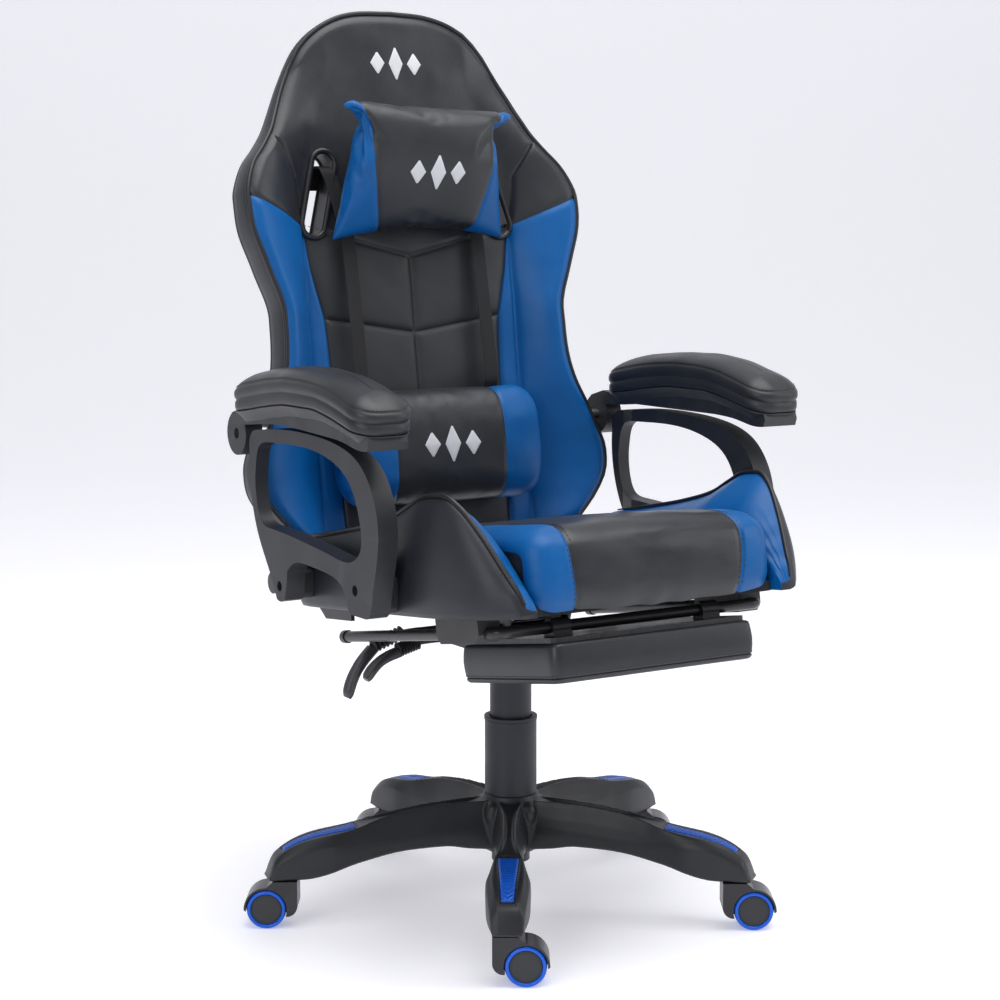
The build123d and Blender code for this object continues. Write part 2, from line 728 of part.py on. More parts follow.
with BuildPart() as rails:
    with BuildLine(rail_plane) as rail_path:
        FilletPolyline(
            (-RAIL_HALF_W, RAIL_LENGTH), (-RAIL_HALF_W, 0), (RAIL_HALF_W, 0), (RAIL_HALF_W, RAIL_LENGTH),
            radius=14,
        )
    with BuildSketch(Plane(origin=rail_path.line @ 0, z_dir=rail_path.line % 0)):
        Circle(RAIL_R)
    sweep()
with BuildPart() as rail_caps:
    with BuildSketch(Plane(origin=rail_path.line @ 0, z_dir=rail_path.line % 0)):
        Circle(8.5)
        Circle(RAIL_R, mode=Mode.SUBTRACT)
    extrude(amount=9)
    mirror(about=Plane.YZ)
rail_solids = Compound(label="footrest_rails", children=[rails.part, rail_caps.part])
export_step(rail_solids, "parts/footrest_rails.step")

with BuildPart() as footrest_board:
    with BuildSketch(rail_plane.offset(-17)):
        with Locations((0, 60)):
            RectangleRounded(2 * FOOT_PAD_HALF_W - 12, 196, 10)
    extrude(amount=6)
    for inner in (95, -120):
        with BuildSketch(rail_side(inner)):
            Circle(10.5)
            with Locations((0, -8)):
                Rectangle(21, 8)
            Circle(rail_section_gap, mode=Mode.SUBTRACT)
        extrude(amount=25)
footrest_board.part.label = "footrest_board"
export_step(footrest_board.part, "parts/footrest_board.step")

with BuildPart() as footrest_pad:
    with BuildSketch(rail_plane.offset(-64)):
        with Locations((0, 60.5)):
            RectangleRounded(2 * FOOT_PAD_HALF_W, 209, 14)
    extrude(amount=47)
    fillet(footrest_pad.faces().sort_by(Axis(rail_plane.origin, rail_plane.z_dir))[0].edges(), 7)
footrest_pad.part.label = "footrest_pad"
export_step(footrest_pad.part, "parts/footrest_pad.step")


# ---------------------------------------------------------------- backrest

back_lean = math.radians(BACK_TILT)
back_plane = Plane(
    origin=(0, BACK_REF_Y, BACK_REF_Z),
    x_dir=(1, 0, 0),
    z_dir=(0, -math.cos(back_lean), math.sin(back_lean)),
)
# Side view of the backrest: local x is the depth in front of its centre panel, local y runs up it.


def back_side(x):
    """Side view of the backrest at x: local x is towards the sitter, local y runs up the back."""
    return Plane(origin=(x, BACK_REF_Y, BACK_REF_Z), x_dir=back_plane.z_dir, z_dir=(-1, 0, 0))


pivot_in_back = in_side_view(back_side(0), *RECLINE_PIVOT)

with BuildPart() as back_frame:
    with BuildLine(back_plane.offset(-18)) as tube_path:
        FilletPolyline(
            (-180, -196), (-188, 90), (-200, 250), (-150, 350), (-95, 440), (95, 440), (150, 350),
            (200, 250),
            (188, 90), (180, -196), radius=40,
        )
    with BuildSketch(Plane(origin=tube_path.line @ 0, z_dir=tube_path.line % 0)):
        Circle(9.5)
    sweep()
    for height, half_span in ((-180, 180), (40, 186)):
        with BuildSketch(back_side(half_span)):
            with Locations((-18, height)):
                Circle(8)
        extrude(amount=2 * half_span)
back_frame.part.label = "back_frame"
export_step(back_frame.part, "parts/back_frame.step")

with BuildPart() as recliner_arms:
    with BuildSketch(back_side(196.5)):
        with BuildLine():
            Polyline((45, -224), (-5, -180), (-8, -70), (-30, -70), (-30, -210), (20, -256), close=True)
        make_face()
        with Locations(pivot_in_back):
            Circle(20)
            Circle(8 + RUNNING_GAP, mode=Mode.SUBTRACT)
    extrude(amount=6.5)
    mirror(about=Plane.YZ)
    add(back_frame.part, mode=Mode.SUBTRACT)
recliner_arms.part.label = "recliner_arms"
export_step(recliner_arms.part, "parts/recliner_arms.step")

with BuildPart() as arm_pivot_bolts:
    for side in (1, -1):
        with BuildSketch(Plane.YZ.offset(side * 215)):
            with Locations((KNUCKLE_Y, KNUCKLE_Z)):
                Circle(7)
        extrude(amount=side * 72)
arm_pivot_bolts.part.label = "arm_pivot_bolts"
export_step(arm_pivot_bolts.part, "parts/arm_pivot_bolts.step")

with BuildPart() as back_core:
    with BuildSketch(back_plane.offset(-BACK_CORE_T)) as back_outline:
        with BuildLine():
            rim = Spline(
                (0, 521), (60, 515), (117, 481), (150, 440), (178, 394), (206, 346), (238, 316), (254, 290),
                (256, 262), (248, 217), (230, 172), (214, 108), (217, 45), (229, 3), (250, -43), (268, -94),
                (264, -124), (245, -153), (215, -184), (170, -203), (120, -205),
            )
            Line((120, -205), (0, -205))
            mirror(about=Plane.YZ)
        make_face()
    extrude(amount=BACK_CORE_T)

# Raised edges of the backrest: they fade out towards the headrest.
with BuildPart() as bolster_depth:
    with BuildSketch(back_side(300)):
        with BuildLine():
            Spline((45, 250), (36, 300), (20, 350), (5, 394), (0, 430))
            Polyline((0, 430), (-1, 430), (-1, -220), (45, -220), (45, 250))
        make_face()
    extrude(amount=600)

with BuildPart() as bolsters:
    with BuildSketch(back_plane):
        add(back_outline.sketch_local)
        Rectangle(2 * INNER_HALF_W, 1200, mode=Mode.SUBTRACT)
    extrude(amount=45)
    add(bolster_depth.part, mode=Mode.INTERSECT)

with BuildPart() as back_cushion:
    add(back_core.part)
    add(bolsters.part)
    for side in (1, -1):
        with BuildSketch(back_plane.offset(-60)):
            with Locations(Location((side * 134, 272, 0), (0, 0, side * 15.5))):
                SlotOverall(118, 34, rotation=90)
        extrude(amount=120, mode=Mode.SUBTRACT)
    add(back_frame.part, mode=Mode.SUBTRACT)
    add(recliner_arms.part, mode=Mode.SUBTRACT)
    add(arm_pivot_bolts.part, mode=Mode.SUBTRACT)
back_cushion.part.label = "back_cushion"
export_step(back_cushion.part, "parts/back_cushion.step")

with BuildPart() as lumbar_pillow:
    with BuildSketch(back_side(157)):
        with Locations((38, -73)):
            RectangleRounded(74, 156, 30)
    extrude(amount=314)
lumbar_pillow.part.label = "lumbar_pillow"
export_step(lumbar_pillow.part, "parts/lumbar_pillow.step")

with BuildPart() as head_pillow:
    with BuildSketch(Plane.YZ.offset(-130)):
        with BuildLine():
            ThreePointArc((236, 866), (176, 945), (204, 1041))
            ThreePointArc((204, 1041), (256, 962), (236, 866))
        make_face()
    extrude(amount=260)
head_pillow.part.label = "head_pillow"
export_step(head_pillow.part, "parts/head_pillow.step")

# Webbing that holds both pillows: up the front, through the slots and across the back.
WEBBING_W = 20.0
WEBBING_T = 1.6

with BuildPart() as pillow_straps:
    for side in (1, -1):
        with BuildSketch(Plane.YZ.offset(side * 92)):
            with BuildLine():
                Polyline(
                    (214, 662), (211, 684), (247, 861), (262, 905), (262 + WEBBING_T, 905), (248.6, 860.6),
                    (212.6, 684), (215.6, 662.4), close=True,
                )
            make_face()
        extrude(amount=side * WEBBING_W)
        for x, y, z in ((102, 262, 905), (120, 271, 961.6)):
            with BuildSketch(Plane.XY.offset(z)):
                with Locations((side * x, y + WEBBING_T / 2)):
                    Rectangle(WEBBING_W, WEBBING_T)
        loft()
        with BuildSketch(Plane.YZ.offset(side * 110)):
            with BuildLine():
                Polyline((271, 960), (271, 961.6), (313, 961.6), (313, 960), close=True)
            make_face()
        extrude(amount=side * WEBBING_W)
    with BuildSketch(Plane.YZ.offset(-130)):
        with BuildLine():
            Polyline((311.4, 961.6), (313, 961.6), (307.8, 926), (306.2, 926), close=True)
        make_face()
    extrude(amount=260)
pillow_straps.part.label = "pillow_straps"
export_step(pillow_straps.part, "parts/pillow_straps.step")


# ---------------------------------------------------------------- armrest pads

# Line where the padded top meets the plastic base, seen from the side, rear to front.
ARM_SPLIT = [
    (150, 650), (100, 656), (52, 663), (-12, 669), (-70, 669), (-110, 664), (-148, 656), (-190, 646),
]

with BuildPart() as arm_rest_base:
    with BuildSketch(Plane.YZ.offset(PAD_CENTRE_X - 26)):
        with BuildLine():
            Polyline((-190, 646), (-193, 638), (-190, 629))
            Spline(
                (-190, 629), (-165, 629), (-137, 634), (-87, 638), (-20, 641), (60, 641), (120, 636),
                (160, 634),
            )
            Polyline((160, 634), (172, 634), (170, 645), (150, 650))
            Spline(*ARM_SPLIT)
        make_face()
    extrude(amount=52)
    with BuildSketch(Plane.YZ.offset(268)):
        with Locations((KNUCKLE_Y, KNUCKLE_Z)):
            Circle(28)
        with BuildLine():
            Polyline((158, 634), (200, 634), (221, 628), (210, 644), (180, 652), (158, 649), close=True)
        make_face()
    extrude(amount=24)
    with BuildSketch(Plane.YZ.offset(250)):
        with Locations((KNUCKLE_Y, KNUCKLE_Z)):
            Circle(7 + RUNNING_GAP)
    extrude(amount=70, mode=Mode.SUBTRACT)

with BuildPart() as arm_cushion:
    with BuildSketch(Plane.YZ.offset(PAD_CENTRE_X - 40)):
        with BuildLine():
            Spline(*ARM_SPLIT)
            Spline(
                (-190, 646), (-195, 662), (-178, 683), (-144, 698), (-108, 708), (-60, 713), (-31, 714),
                (44, 710), (107, 702), (140, 689), (153, 668), (150, 650),
            )
        make_face()
    extrude(amount=80)
    with BuildSketch(Plane.XY.offset(600)):
        with Locations((PAD_CENTRE_X, -21)):
            RectangleRounded(80, 352, 28)
    extrude(amount=150, mode=Mode.INTERSECT)

for side_name, arm_rest_plane in (("right", None), ("left", Plane.YZ)):
    for piece_name, piece in (("arm_rest_base", arm_rest_base.part), ("arm_cushion", arm_cushion.part)):
        with BuildPart() as placed:
            if arm_rest_plane:
                mirror(piece, about=arm_rest_plane)
            else:
                add(piece)
        placed.part.label = f"{piece_name}_{side_name}"
        export_step(placed.part, f"parts/{piece_name}_{side_name}.step")
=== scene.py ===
import json
import math

import bmesh
import bpy
import numpy as np
from mathutils import Matrix, Vector, noise
from mathutils.bvhtree import BVHTree


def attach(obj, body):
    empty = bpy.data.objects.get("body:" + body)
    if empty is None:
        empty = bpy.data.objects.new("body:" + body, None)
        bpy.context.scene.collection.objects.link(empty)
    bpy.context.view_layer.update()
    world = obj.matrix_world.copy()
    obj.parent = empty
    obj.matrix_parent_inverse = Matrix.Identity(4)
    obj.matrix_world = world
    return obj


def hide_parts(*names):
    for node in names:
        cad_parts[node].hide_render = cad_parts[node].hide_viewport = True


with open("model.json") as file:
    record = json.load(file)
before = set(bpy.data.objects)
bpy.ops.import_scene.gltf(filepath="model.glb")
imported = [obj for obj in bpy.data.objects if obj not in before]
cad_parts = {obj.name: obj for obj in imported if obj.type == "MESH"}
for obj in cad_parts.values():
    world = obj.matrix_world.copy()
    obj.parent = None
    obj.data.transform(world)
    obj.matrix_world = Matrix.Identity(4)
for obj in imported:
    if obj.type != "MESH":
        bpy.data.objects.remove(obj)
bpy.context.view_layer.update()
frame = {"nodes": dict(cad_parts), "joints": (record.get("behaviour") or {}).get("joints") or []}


# ---------------------------------------------------------------- star base
# One-piece nylon moulding with five legs. Each leg has a channel between two ridges where it leaves
# the hub, then widens to hold a blue grip insert, and ends in the socket of a caster.

LEG_ANGLES = [math.radians(-122.95 + 72 * leg) for leg in range(5)]
PAD_START, PAD_END = 209, 303


def curve_through(xs, ys):
    """A smooth curve through the given points that never swings past them, as a function."""
    xs, ys = np.array(xs, float), np.array(ys, float)
    run = np.diff(xs)
    slope = np.diff(ys) / run
    tangent = np.r_[slope[0], 0.5 * (slope[1:] + slope[:-1]), slope[-1]]
    tangent[1:-1][slope[1:] * slope[:-1] <= 0] = 0
    for k in range(len(slope)):
        if slope[k] == 0:
            tangent[k] = tangent[k + 1] = 0
            continue
        steep = math.hypot(tangent[k] / slope[k], tangent[k + 1] / slope[k])
        if steep > 3:
            tangent[k : k + 2] *= 3 / steep

    def curve(x):
        x = np.clip(np.asarray(x, float), xs[0], xs[-1])
        k = np.clip(np.searchsorted(xs, x, side="right") - 1, 0, len(run) - 1)
        t = (x - xs[k]) / run[k]
        return (
            ys[k] * (1 + 2 * t) * (1 - t) ** 2
            + tangent[k] * run[k] * t * (1 - t) ** 2
            + ys[k + 1] * t * t * (3 - 2 * t)
            + tangent[k + 1] * run[k] * t * t * (t - 1)
        )

    return curve


def make_piece(name, points, faces, materials, face_materials=None, crease=40):
    """A mesh piece from points in millimetres in the row frame, smooth but for edges sharper than crease."""
    mesh = bpy.data.meshes.new(name)
    mesh.from_pydata([tuple(float(c) * 0.001 for c in p) for p in points], [], faces)
    for material in materials:
        mesh.materials.append(material)
    if face_materials is not None:
        mesh.polygons.foreach_set("material_index", np.array(face_materials, np.int32))
    shape = bmesh.new()
    shape.from_mesh(mesh)
    bmesh.ops.remove_doubles(shape, verts=shape.verts, dist=1e-6)
    bmesh.ops.recalc_face_normals(shape, faces=shape.faces)
    shape.to_mesh(mesh)
    shape.free()
    mesh.shade_smooth()
    mesh.set_sharp_from_angle(angle=math.radians(crease))
    piece = bpy.data.objects.new(name, mesh)
    bpy.context.collection.objects.link(piece)
    return piece


def loft(rings, capped=True, closed=False):
    """Points and faces of a skin over a row of rings that all have the same number of points."""
    count = len(rings[0])
    points = [p for ring in rings for p in ring]
    faces = []
    for k in range(len(rings) - (0 if closed else 1)):
        a, b = k * count, (k + 1) % len(rings) * count
        faces += [(a + i, a + (i + 1) % count, b + (i + 1) % count, b + i) for i in range(count)]
    if capped and not closed:
        faces.append(tuple(range(count)))
        faces.append(tuple(range(len(points) - count, len(points))))
    return points, faces


def join_skins(*skins):
    """Several (points, faces) skins as one."""
    points, faces = [], []
    for skin_points, skin_faces in skins:
        start = len(points)
        points += list(skin_points)
        faces += [tuple(start + i for i in face) for face in skin_faces]
    return points, faces


def turned(skin, angle):
    """The skin turned about the column's axis."""
    cosine, sine = math.cos(angle), math.sin(angle)
    return [(x * cosine - y * sine, x * sine + y * cosine, z) for x, y, z in skin[0]], skin[1]


def applied(piece):
    """Makes the piece's modifiers part of its mesh."""
    bpy.context.view_layer.update()
    mesh = bpy.data.meshes.new_from_object(piece.evaluated_get(bpy.context.evaluated_depsgraph_get()))
    piece.modifiers.clear()
    piece.data = mesh
    return piece


def grained(
    name, colour, roughness, grain, depth, mottle=0.12, cells=0.0, metallic=0.0, wear=0.0, shine=0.42
):
    """A finish with a fine grain, slow changes of tone and gloss, and edges rubbed lighter by wear.

    grain is the size of the grain in millimetres, depth its height; cells mixes in a leather-like pattern;
    shine is how strongly the surface mirrors the room.
    """
    material = bpy.data.materials.new(name)
    material.use_nodes = True
    nodes, link = material.node_tree.nodes, material.node_tree.links.new
    shader = nodes["Principled BSDF"]
    shader.inputs["Metallic"].default_value = metallic
    shader.inputs["Specular IOR Level"].default_value = shine
    place = nodes.new("ShaderNodeTexCoord").outputs["Object"]

    drift = nodes.new("ShaderNodeTexNoise")
    drift.inputs["Scale"].default_value = 14
    drift.inputs["Detail"].default_value = 6
    drift.inputs["Roughness"].default_value = 0.65
    link(place, drift.inputs["Vector"])
    tone = nodes.new("ShaderNodeValToRGB")
    for stop, place_on_ramp, factor in zip(tone.color_ramp.elements, (0.32, 0.68), (1 - mottle, 1 + mottle)):
        stop.position = place_on_ramp
        stop.color = [min(1, channel * factor) for channel in colour] + [1]
    link(drift.outputs["Fac"], tone.inputs["Fac"])
    colour_out = tone.outputs["Color"]
    if wear:
        edge = nodes.new("ShaderNodeNewGeometry")
        rubbed = nodes.new("ShaderNodeMapRange")
        rubbed.inputs["From Min"].default_value = 0.505
        rubbed.inputs["From Max"].default_value = 0.56
        rubbed.inputs["To Max"].default_value = wear
        link(edge.outputs["Pointiness"], rubbed.inputs["Value"])
        lighter = nodes.new("ShaderNodeMix")
        lighter.data_type = "RGBA"
        lighter.inputs["B"].default_value = [min(1, channel * 2.2 + 0.02) for channel in colour] + [1]
        link(rubbed.outputs["Result"], lighter.inputs["Factor"])
        link(colour_out, lighter.inputs["A"])
        colour_out = lighter.outputs["Result"]
    link(colour_out, shader.inputs["Base Color"])

    gloss = nodes.new("ShaderNodeMapRange")
    gloss.inputs["From Min"].default_value = 0.3
    gloss.inputs["From Max"].default_value = 0.7
    gloss.inputs["To Min"].default_value = max(0.04, roughness - 0.06)
    gloss.inputs["To Max"].default_value = min(1, roughness + 0.07)
    link(drift.outputs["Fac"], gloss.inputs["Value"])
    link(gloss.outputs["Result"], shader.inputs["Roughness"])

    fine = nodes.new("ShaderNodeTexNoise")
    fine.inputs["Scale"].default_value = 1000 / grain
    fine.inputs["Detail"].default_value = 3
    link(place, fine.inputs["Vector"])
    height = fine.outputs["Fac"]
    if cells:
        pebble = nodes.new("ShaderNodeTexVoronoi")
        pebble.feature = "SMOOTH_F1"
        pebble.inputs["Scale"].default_value = 620 / grain
        link(place, pebble.inputs["Vector"])
        blended = nodes.new("ShaderNodeMix")
        blended.inputs["Factor"].default_value = cells
        link(height, blended.inputs["A"])
        link(pebble.outputs["Distance"], blended.inputs["B"])
        height = blended.outputs["Result"]
    bump = nodes.new("ShaderNodeBump")
    bump.inputs["Strength"].default_value = 1
    bump.inputs["Distance"].default_value = depth * 0.001
    link(height, bump.inputs["Height"])
    link(bump.outputs["Normal"], shader.inputs["Normal"])
    return material


nylon = grained("moulded nylon", (0.013, 0.014, 0.017), 0.42, 0.9, 0.05, mottle=0.18, wear=0.35)

leg_top = curve_through([0, 54, 105, 164, 208, 306, 316, 324], [144, 143.5, 142, 134, 122.5, 96.5, 86, 64])
leg_bottom = curve_through([0, 60, 93, 152, 209, 281, 324], [76, 82, 87, 85, 76, 62, 62])
leg_half_width = curve_through([0, 70, 150, 205, 246, 295, 324], [24, 19, 16.5, 21, 27, 23, 18])
ridge_half_width = curve_through(
    [0, 45, 85, 140, 185, 209, 246, 300, 324], [17, 13, 8, 7, 11, 17.5, 20, 14, 9]
)
shoulder_drop = curve_through([0, 80, 150, 205, 246, 300, 324], [26, 36, 34, 22, 13, 10, 5])
pad_half_width = curve_through([PAD_START, PAD_END], [13.8, 8.3])


def leg_ring(radius):
    """Section of a leg at a distance from the column, counter-clockwise from the middle of its top."""
    top, bottom = float(leg_top(radius)), float(leg_bottom(radius))
    wide, ridge = float(leg_half_width(radius)), float(ridge_half_width(radius))
    in_pad = PAD_START - 1 <= radius <= PAD_END + 1
    floor = 1.8 if in_pad else 5.5 * float(np.interp(radius, [30, 60, 150, 200, 207], [0, 1, 1, 0.25, 0]))
    inner = float(pad_half_width(radius)) if in_pad else 0.62 * ridge
    shoulder = max(top - float(shoulder_drop(radius)), bottom + 1.2 * (top - bottom) / 4)
    half = [
        (0, top - floor),
        (inner * 0.6, top - floor),
        (inner, top - floor),
        (inner + 0.8 if in_pad else ridge * 0.86, top if in_pad else top - 0.6),
        (ridge, top),
        (ridge + 0.25 * (wide - ridge), top - 0.18 * (top - shoulder)),
        (ridge + 0.7 * (wide - ridge), top - 0.62 * (top - shoulder)),
        (wide, shoulder),
        (wide + 0.6, shoulder - 0.3 * (shoulder - bottom)),
        (wide, bottom + 3),
        (wide - 3, bottom),
        (0, bottom),
    ]
    return [(radius, y, z) for y, z in half] + [(radius, -y, z) for y, z in half[-2:0:-1]]


pad_steps = {PAD_START - 1.6, PAD_START - 1, PAD_END + 1, PAD_END + 1.6, 324}
stations = sorted(set(np.linspace(27, 322, 104).round(2)) | pad_steps)
leg_skin = loft([leg_ring(float(radius)) for radius in stations])


def lathe(profile, steps=64):
    """Skin of a shape turned about the column's axis, from (radius, height) points."""
    rings = []
    for step in range(steps):
        angle = 2 * math.pi * step / steps
        rings.append([(r * math.cos(angle), r * math.sin(angle), z) for r, z in profile])
    return loft(rings, closed=True)


hub_skin = lathe(
    [(25.1, 76), (33, 74), (36, 78), (43, 100), (46, 120), (43, 136), (37, 146), (35.5, 150), (25.1, 150)]
)
lug_skins = []
for lug_angle in LEG_ANGLES:
    middle = lug_angle + math.radians(36)
    rings = []
    for height, lug_radius in ((116, 2), (118, 7), (124, 10.5), (132, 11.5), (138, 10), (142, 6.5), (143, 2)):
        rings.append(
            [
                (
                    40 + lug_radius * math.cos(2 * math.pi * k / 20) - 0.15 * (height - 116),
                    lug_radius * math.sin(2 * math.pi * k / 20),
                    height,
                )
                for k in range(20)
            ]
        )
    lug_skins.append(turned(loft(rings), middle))

base_skin = join_skins(hub_skin, *lug_skins, *[turned(leg_skin, angle) for angle in LEG_ANGLES])
star_base = make_piece("star_base_moulding", *base_skin, [nylon], crease=180)
blend_castings = star_base.modifiers.new("one casting", "REMESH")
blend_castings.mode = "VOXEL"
blend_castings.voxel_size = 0.0014
soft_edges = star_base.modifiers.new("soft edges", "SMOOTH")
soft_edges.factor = 0.5
soft_edges.iterations = 3
applied(star_base)
star_base.data.shade_smooth()
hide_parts("star_base")
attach(star_base, "base")


# ---------------------------------------------------------------- blue grip inserts
# Tapered blue plastic plates that clip into the top of each leg. Chevron ribs keep a shoe from slipping.

blue_plastic = grained("blue insert plastic", (0.001, 0.085, 0.5), 0.34, 1.2, 0.03, mottle=0.08)
RIB_PITCH, RIB_HEIGHT = 6.2, 1.1


def insert_skin():
    """One insert: a plate with V-shaped ribs, its rim bevelled down into the leg."""
    rows, columns = 120, 25
    top = []
    for k in range(rows):
        along = k / (rows - 1)
        radius = PAD_START + 1 + (PAD_END - PAD_START - 2) * along
        half = float(pad_half_width(radius)) - 0.9
        row = []
        for j in range(columns):
            across = 2 * j / (columns - 1) - 1
            y = across * half
            rib = ((radius + 0.85 * abs(y)) / RIB_PITCH) % 1
            rim = min((1 - abs(across)) * half, radius - PAD_START, PAD_END - radius) - 0.6
            ribbed = RIB_HEIGHT * (1 - abs(2 * rib - 1)) * min(1, max(0, rim / 1.4))
            row.append((radius, y, float(leg_top(radius)) - 0.5 + ribbed + 0.5 * min(1, max(0, rim))))
        top.append(row)
    points = [p for row in top for p in row] + [(x, y, z - 3) for row in top for x, y, z in row]
    size = rows * columns
    faces = []
    for k in range(rows - 1):
        for j in range(columns - 1):
            a = k * columns + j
            faces.append((a, a + 1, a + columns + 1, a + columns))
            faces.append((size + a, size + a + columns, size + a + columns + 1, size + a + 1))
    rim = [j for j in range(columns)] + [k * columns + columns - 1 for k in range(1, rows)]
    rim += [(rows - 1) * columns + j for j in range(columns - 2, -1, -1)]
    rim += [k * columns for k in range(rows - 2, 0, -1)]
    for a, b in zip(rim, rim[1:] + rim[:1]):
        faces.append((a, b, size + b, size + a))
    return points, faces


grip_inserts = make_piece(
    "grip_inserts",
    *join_skins(*[turned(insert_skin(), angle) for angle in LEG_ANGLES]),
    [blue_plastic],
    crease=50,
)
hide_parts("leg_pads")
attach(grip_inserts, "base")


# ---------------------------------------------------------------- casters
# Twin-wheel casters: a moulded hood over two wheels, on a zinc-plated stem and axle. Each wheel is a
# dark disc with a glossy blue polyurethane ring for a tyre.

hood_plastic = grained("caster hood plastic", (0.015, 0.015, 0.018), 0.3, 0.8, 0.03, wear=0.3)
zinc = grained("zinc-plated steel", (0.52, 0.52, 0.50), 0.28, 2.5, 0.01, mottle=0.1, metallic=1.0)
disc_plastic = grained("wheel disc plastic", (0.032, 0.033, 0.036), 0.55, 0.7, 0.05)
tyre_rubber = grained("blue polyurethane", (0.004, 0.10, 0.62), 0.16, 3.0, 0.01, mottle=0.06)

TYRE = [
    (19.5, 4), (24, 4), (24.7, 4.5), (25, 6), (25, 16), (24.8, 18.2), (24.2, 19.9), (23.2, 20.8), (22, 21),
    (20.8, 20.7), (20, 20), (19.6, 18.9),
]
DISC = [
    (3.1, 5), (19.4, 5), (19.4, 18.6), (19, 19.1), (18.4, 19.3), (17.8, 19.2), (17.5, 18.9), (17.1, 18.9),
    (16.8, 19.2), (12, 19.5), (6, 19.6), (0.01, 19.6), (0.01, 17.7), (3.1, 17.6),
]


def finish_with(node, material):
    """Gives a carried-over part its finish."""
    part = frame["nodes"][node]
    part.data.materials.clear()
    part.data.materials.append(material)
    return part


def soften(node, material, width, angle=32):
    """Gives a carried-over part its finish, and rounds its edges as its mould or press would."""
    part = finish_with(node, material)
    weld = part.modifiers.new("weld", "WELD")
    weld.merge_threshold = 2e-5
    bevel = part.modifiers.new("rounded edges", "BEVEL")
    bevel.width = width * 0.001
    bevel.segments = 3
    bevel.limit_method = "ANGLE"
    bevel.angle_limit = math.radians(angle)
    normals = part.modifiers.new("even shading", "WEIGHTED_NORMAL")
    normals.keep_sharp = True
    return part


for number in range(1, 6):
    soften(f"caster_{number}_hood", hood_plastic, 1.2)
    finish_with(f"caster_{number}_pins", zinc)

for joint in frame["joints"]:
    if not joint["name"].endswith("_spin"):
        continue
    outward = Vector(joint["axis"]) * (1 if "_a_" in joint["name"] else -1)
    turn = Vector((0, 0, 1)).rotation_difference(outward).to_matrix().to_4x4()
    place = Matrix.Translation(Vector(joint["pos_m"])) @ turn
    skins = [lathe(TYRE, 72), lathe(DISC, 72)]
    finishes = [0] * len(skins[0][1]) + [1] * len(skins[1][1])
    wheel_name = joint["child"]
    wheel = make_piece(f"{wheel_name}_turned", *join_skins(*skins), [tyre_rubber, disc_plastic], finishes)
    wheel.data.transform(place)
    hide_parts(wheel_name)
    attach(wheel, wheel_name)


# ---------------------------------------------------------------- gas column
# The gas spring stands in the hub. Two telescoping plastic covers hide its steel tubes; the button of
# its valve sticks up into the mechanism.

column_plastic = grained("column cover plastic", (0.014, 0.016, 0.022), 0.48, 0.6, 0.02, mottle=0.1)
soften("column_cover_lower", column_plastic, 0.8)
soften("column_cover_upper", column_plastic, 0.8)
black_steel = grained("powder-coated steel", (0.014, 0.014, 0.016), 0.3, 0.8, 0.03, wear=0.25)
for tube in ("gas_outer_tube", "mechanism_housing", "seat_plate", "tilt_pin"):
    finish_with(tube, black_steel)
for steel_part in ("gas_piston_rod", "gas_lift_tube", "gas_release_button", "thrust_bearing", "tilt_spring"):
    finish_with(steel_part, zinc)


# ---------------------------------------------------------------- mechanism and levers
# Pressed-steel rocking mechanism under the seat. A ribbed plastic knob sets its spring, and two bent
# rods in corrugated rubber sleeves end in flat moulded paddles on the sitter's right.

knob_plastic = grained("knob plastic", (0.02, 0.02, 0.022), 0.45, 0.6, 0.04, wear=0.2)
sleeve_rubber = grained("lever sleeve rubber", (0.013, 0.013, 0.014), 0.5, 0.6, 0.03)
paddle_plastic = grained("lever paddle plastic", (0.035, 0.035, 0.038), 0.3, 0.8, 0.03, mottle=0.2, wear=0.3)
soften("tension_knob", knob_plastic, 0.8)


def along_path(points, radii, sides=16, closed=False, start_normal=(0, 0, 1)):
    """Skin of a round bar that follows points, with a radius at each."""
    points = [np.array(p, float) for p in points]
    count = len(points)
    rings, normal = [], np.array(start_normal, float)
    for k in range(count):
        ahead = points[(k + 1) % count] if closed or k < count - 1 else points[k]
        behind = points[k - 1] if closed or k > 0 else points[k]
        tangent = (ahead - behind) / max(1e-9, np.linalg.norm(ahead - behind))
        normal = normal - tangent * float(normal @ tangent)
        normal /= max(1e-9, np.linalg.norm(normal))
        side = np.cross(tangent, normal)
        ring = []
        for i in range(sides):
            angle = 2 * math.pi * i / sides
            ring.append(points[k] + radii[k] * (math.cos(angle) * normal + math.sin(angle) * side))
        rings.append(ring)
    return loft(rings, closed=closed)


def smooth_path(points, steps, closed=False):
    """Points of a smooth line through the given ones, evenly numbered between them."""
    points = [np.array(p, float) for p in points]
    count = len(points)
    line = []
    for k in range(count if closed else count - 1):
        if closed:
            a, b, c, d = (points[(k + i) % count] for i in (-1, 0, 1, 2))
        else:
            b, c = points[k], points[k + 1]
            a = points[k - 1] if k else 2 * b - c
            d = points[k + 2] if k + 2 < count else 2 * c - b
        for i in range(steps):
            t = i / steps
            square, cube = 2 * a - 5 * b + 4 * c - d, 3 * b - a - 3 * c + d
            line.append(0.5 * (2 * b + (c - a) * t + square * t**2 + cube * t**3))
    if not closed:
        line.append(points[-1])
    return line


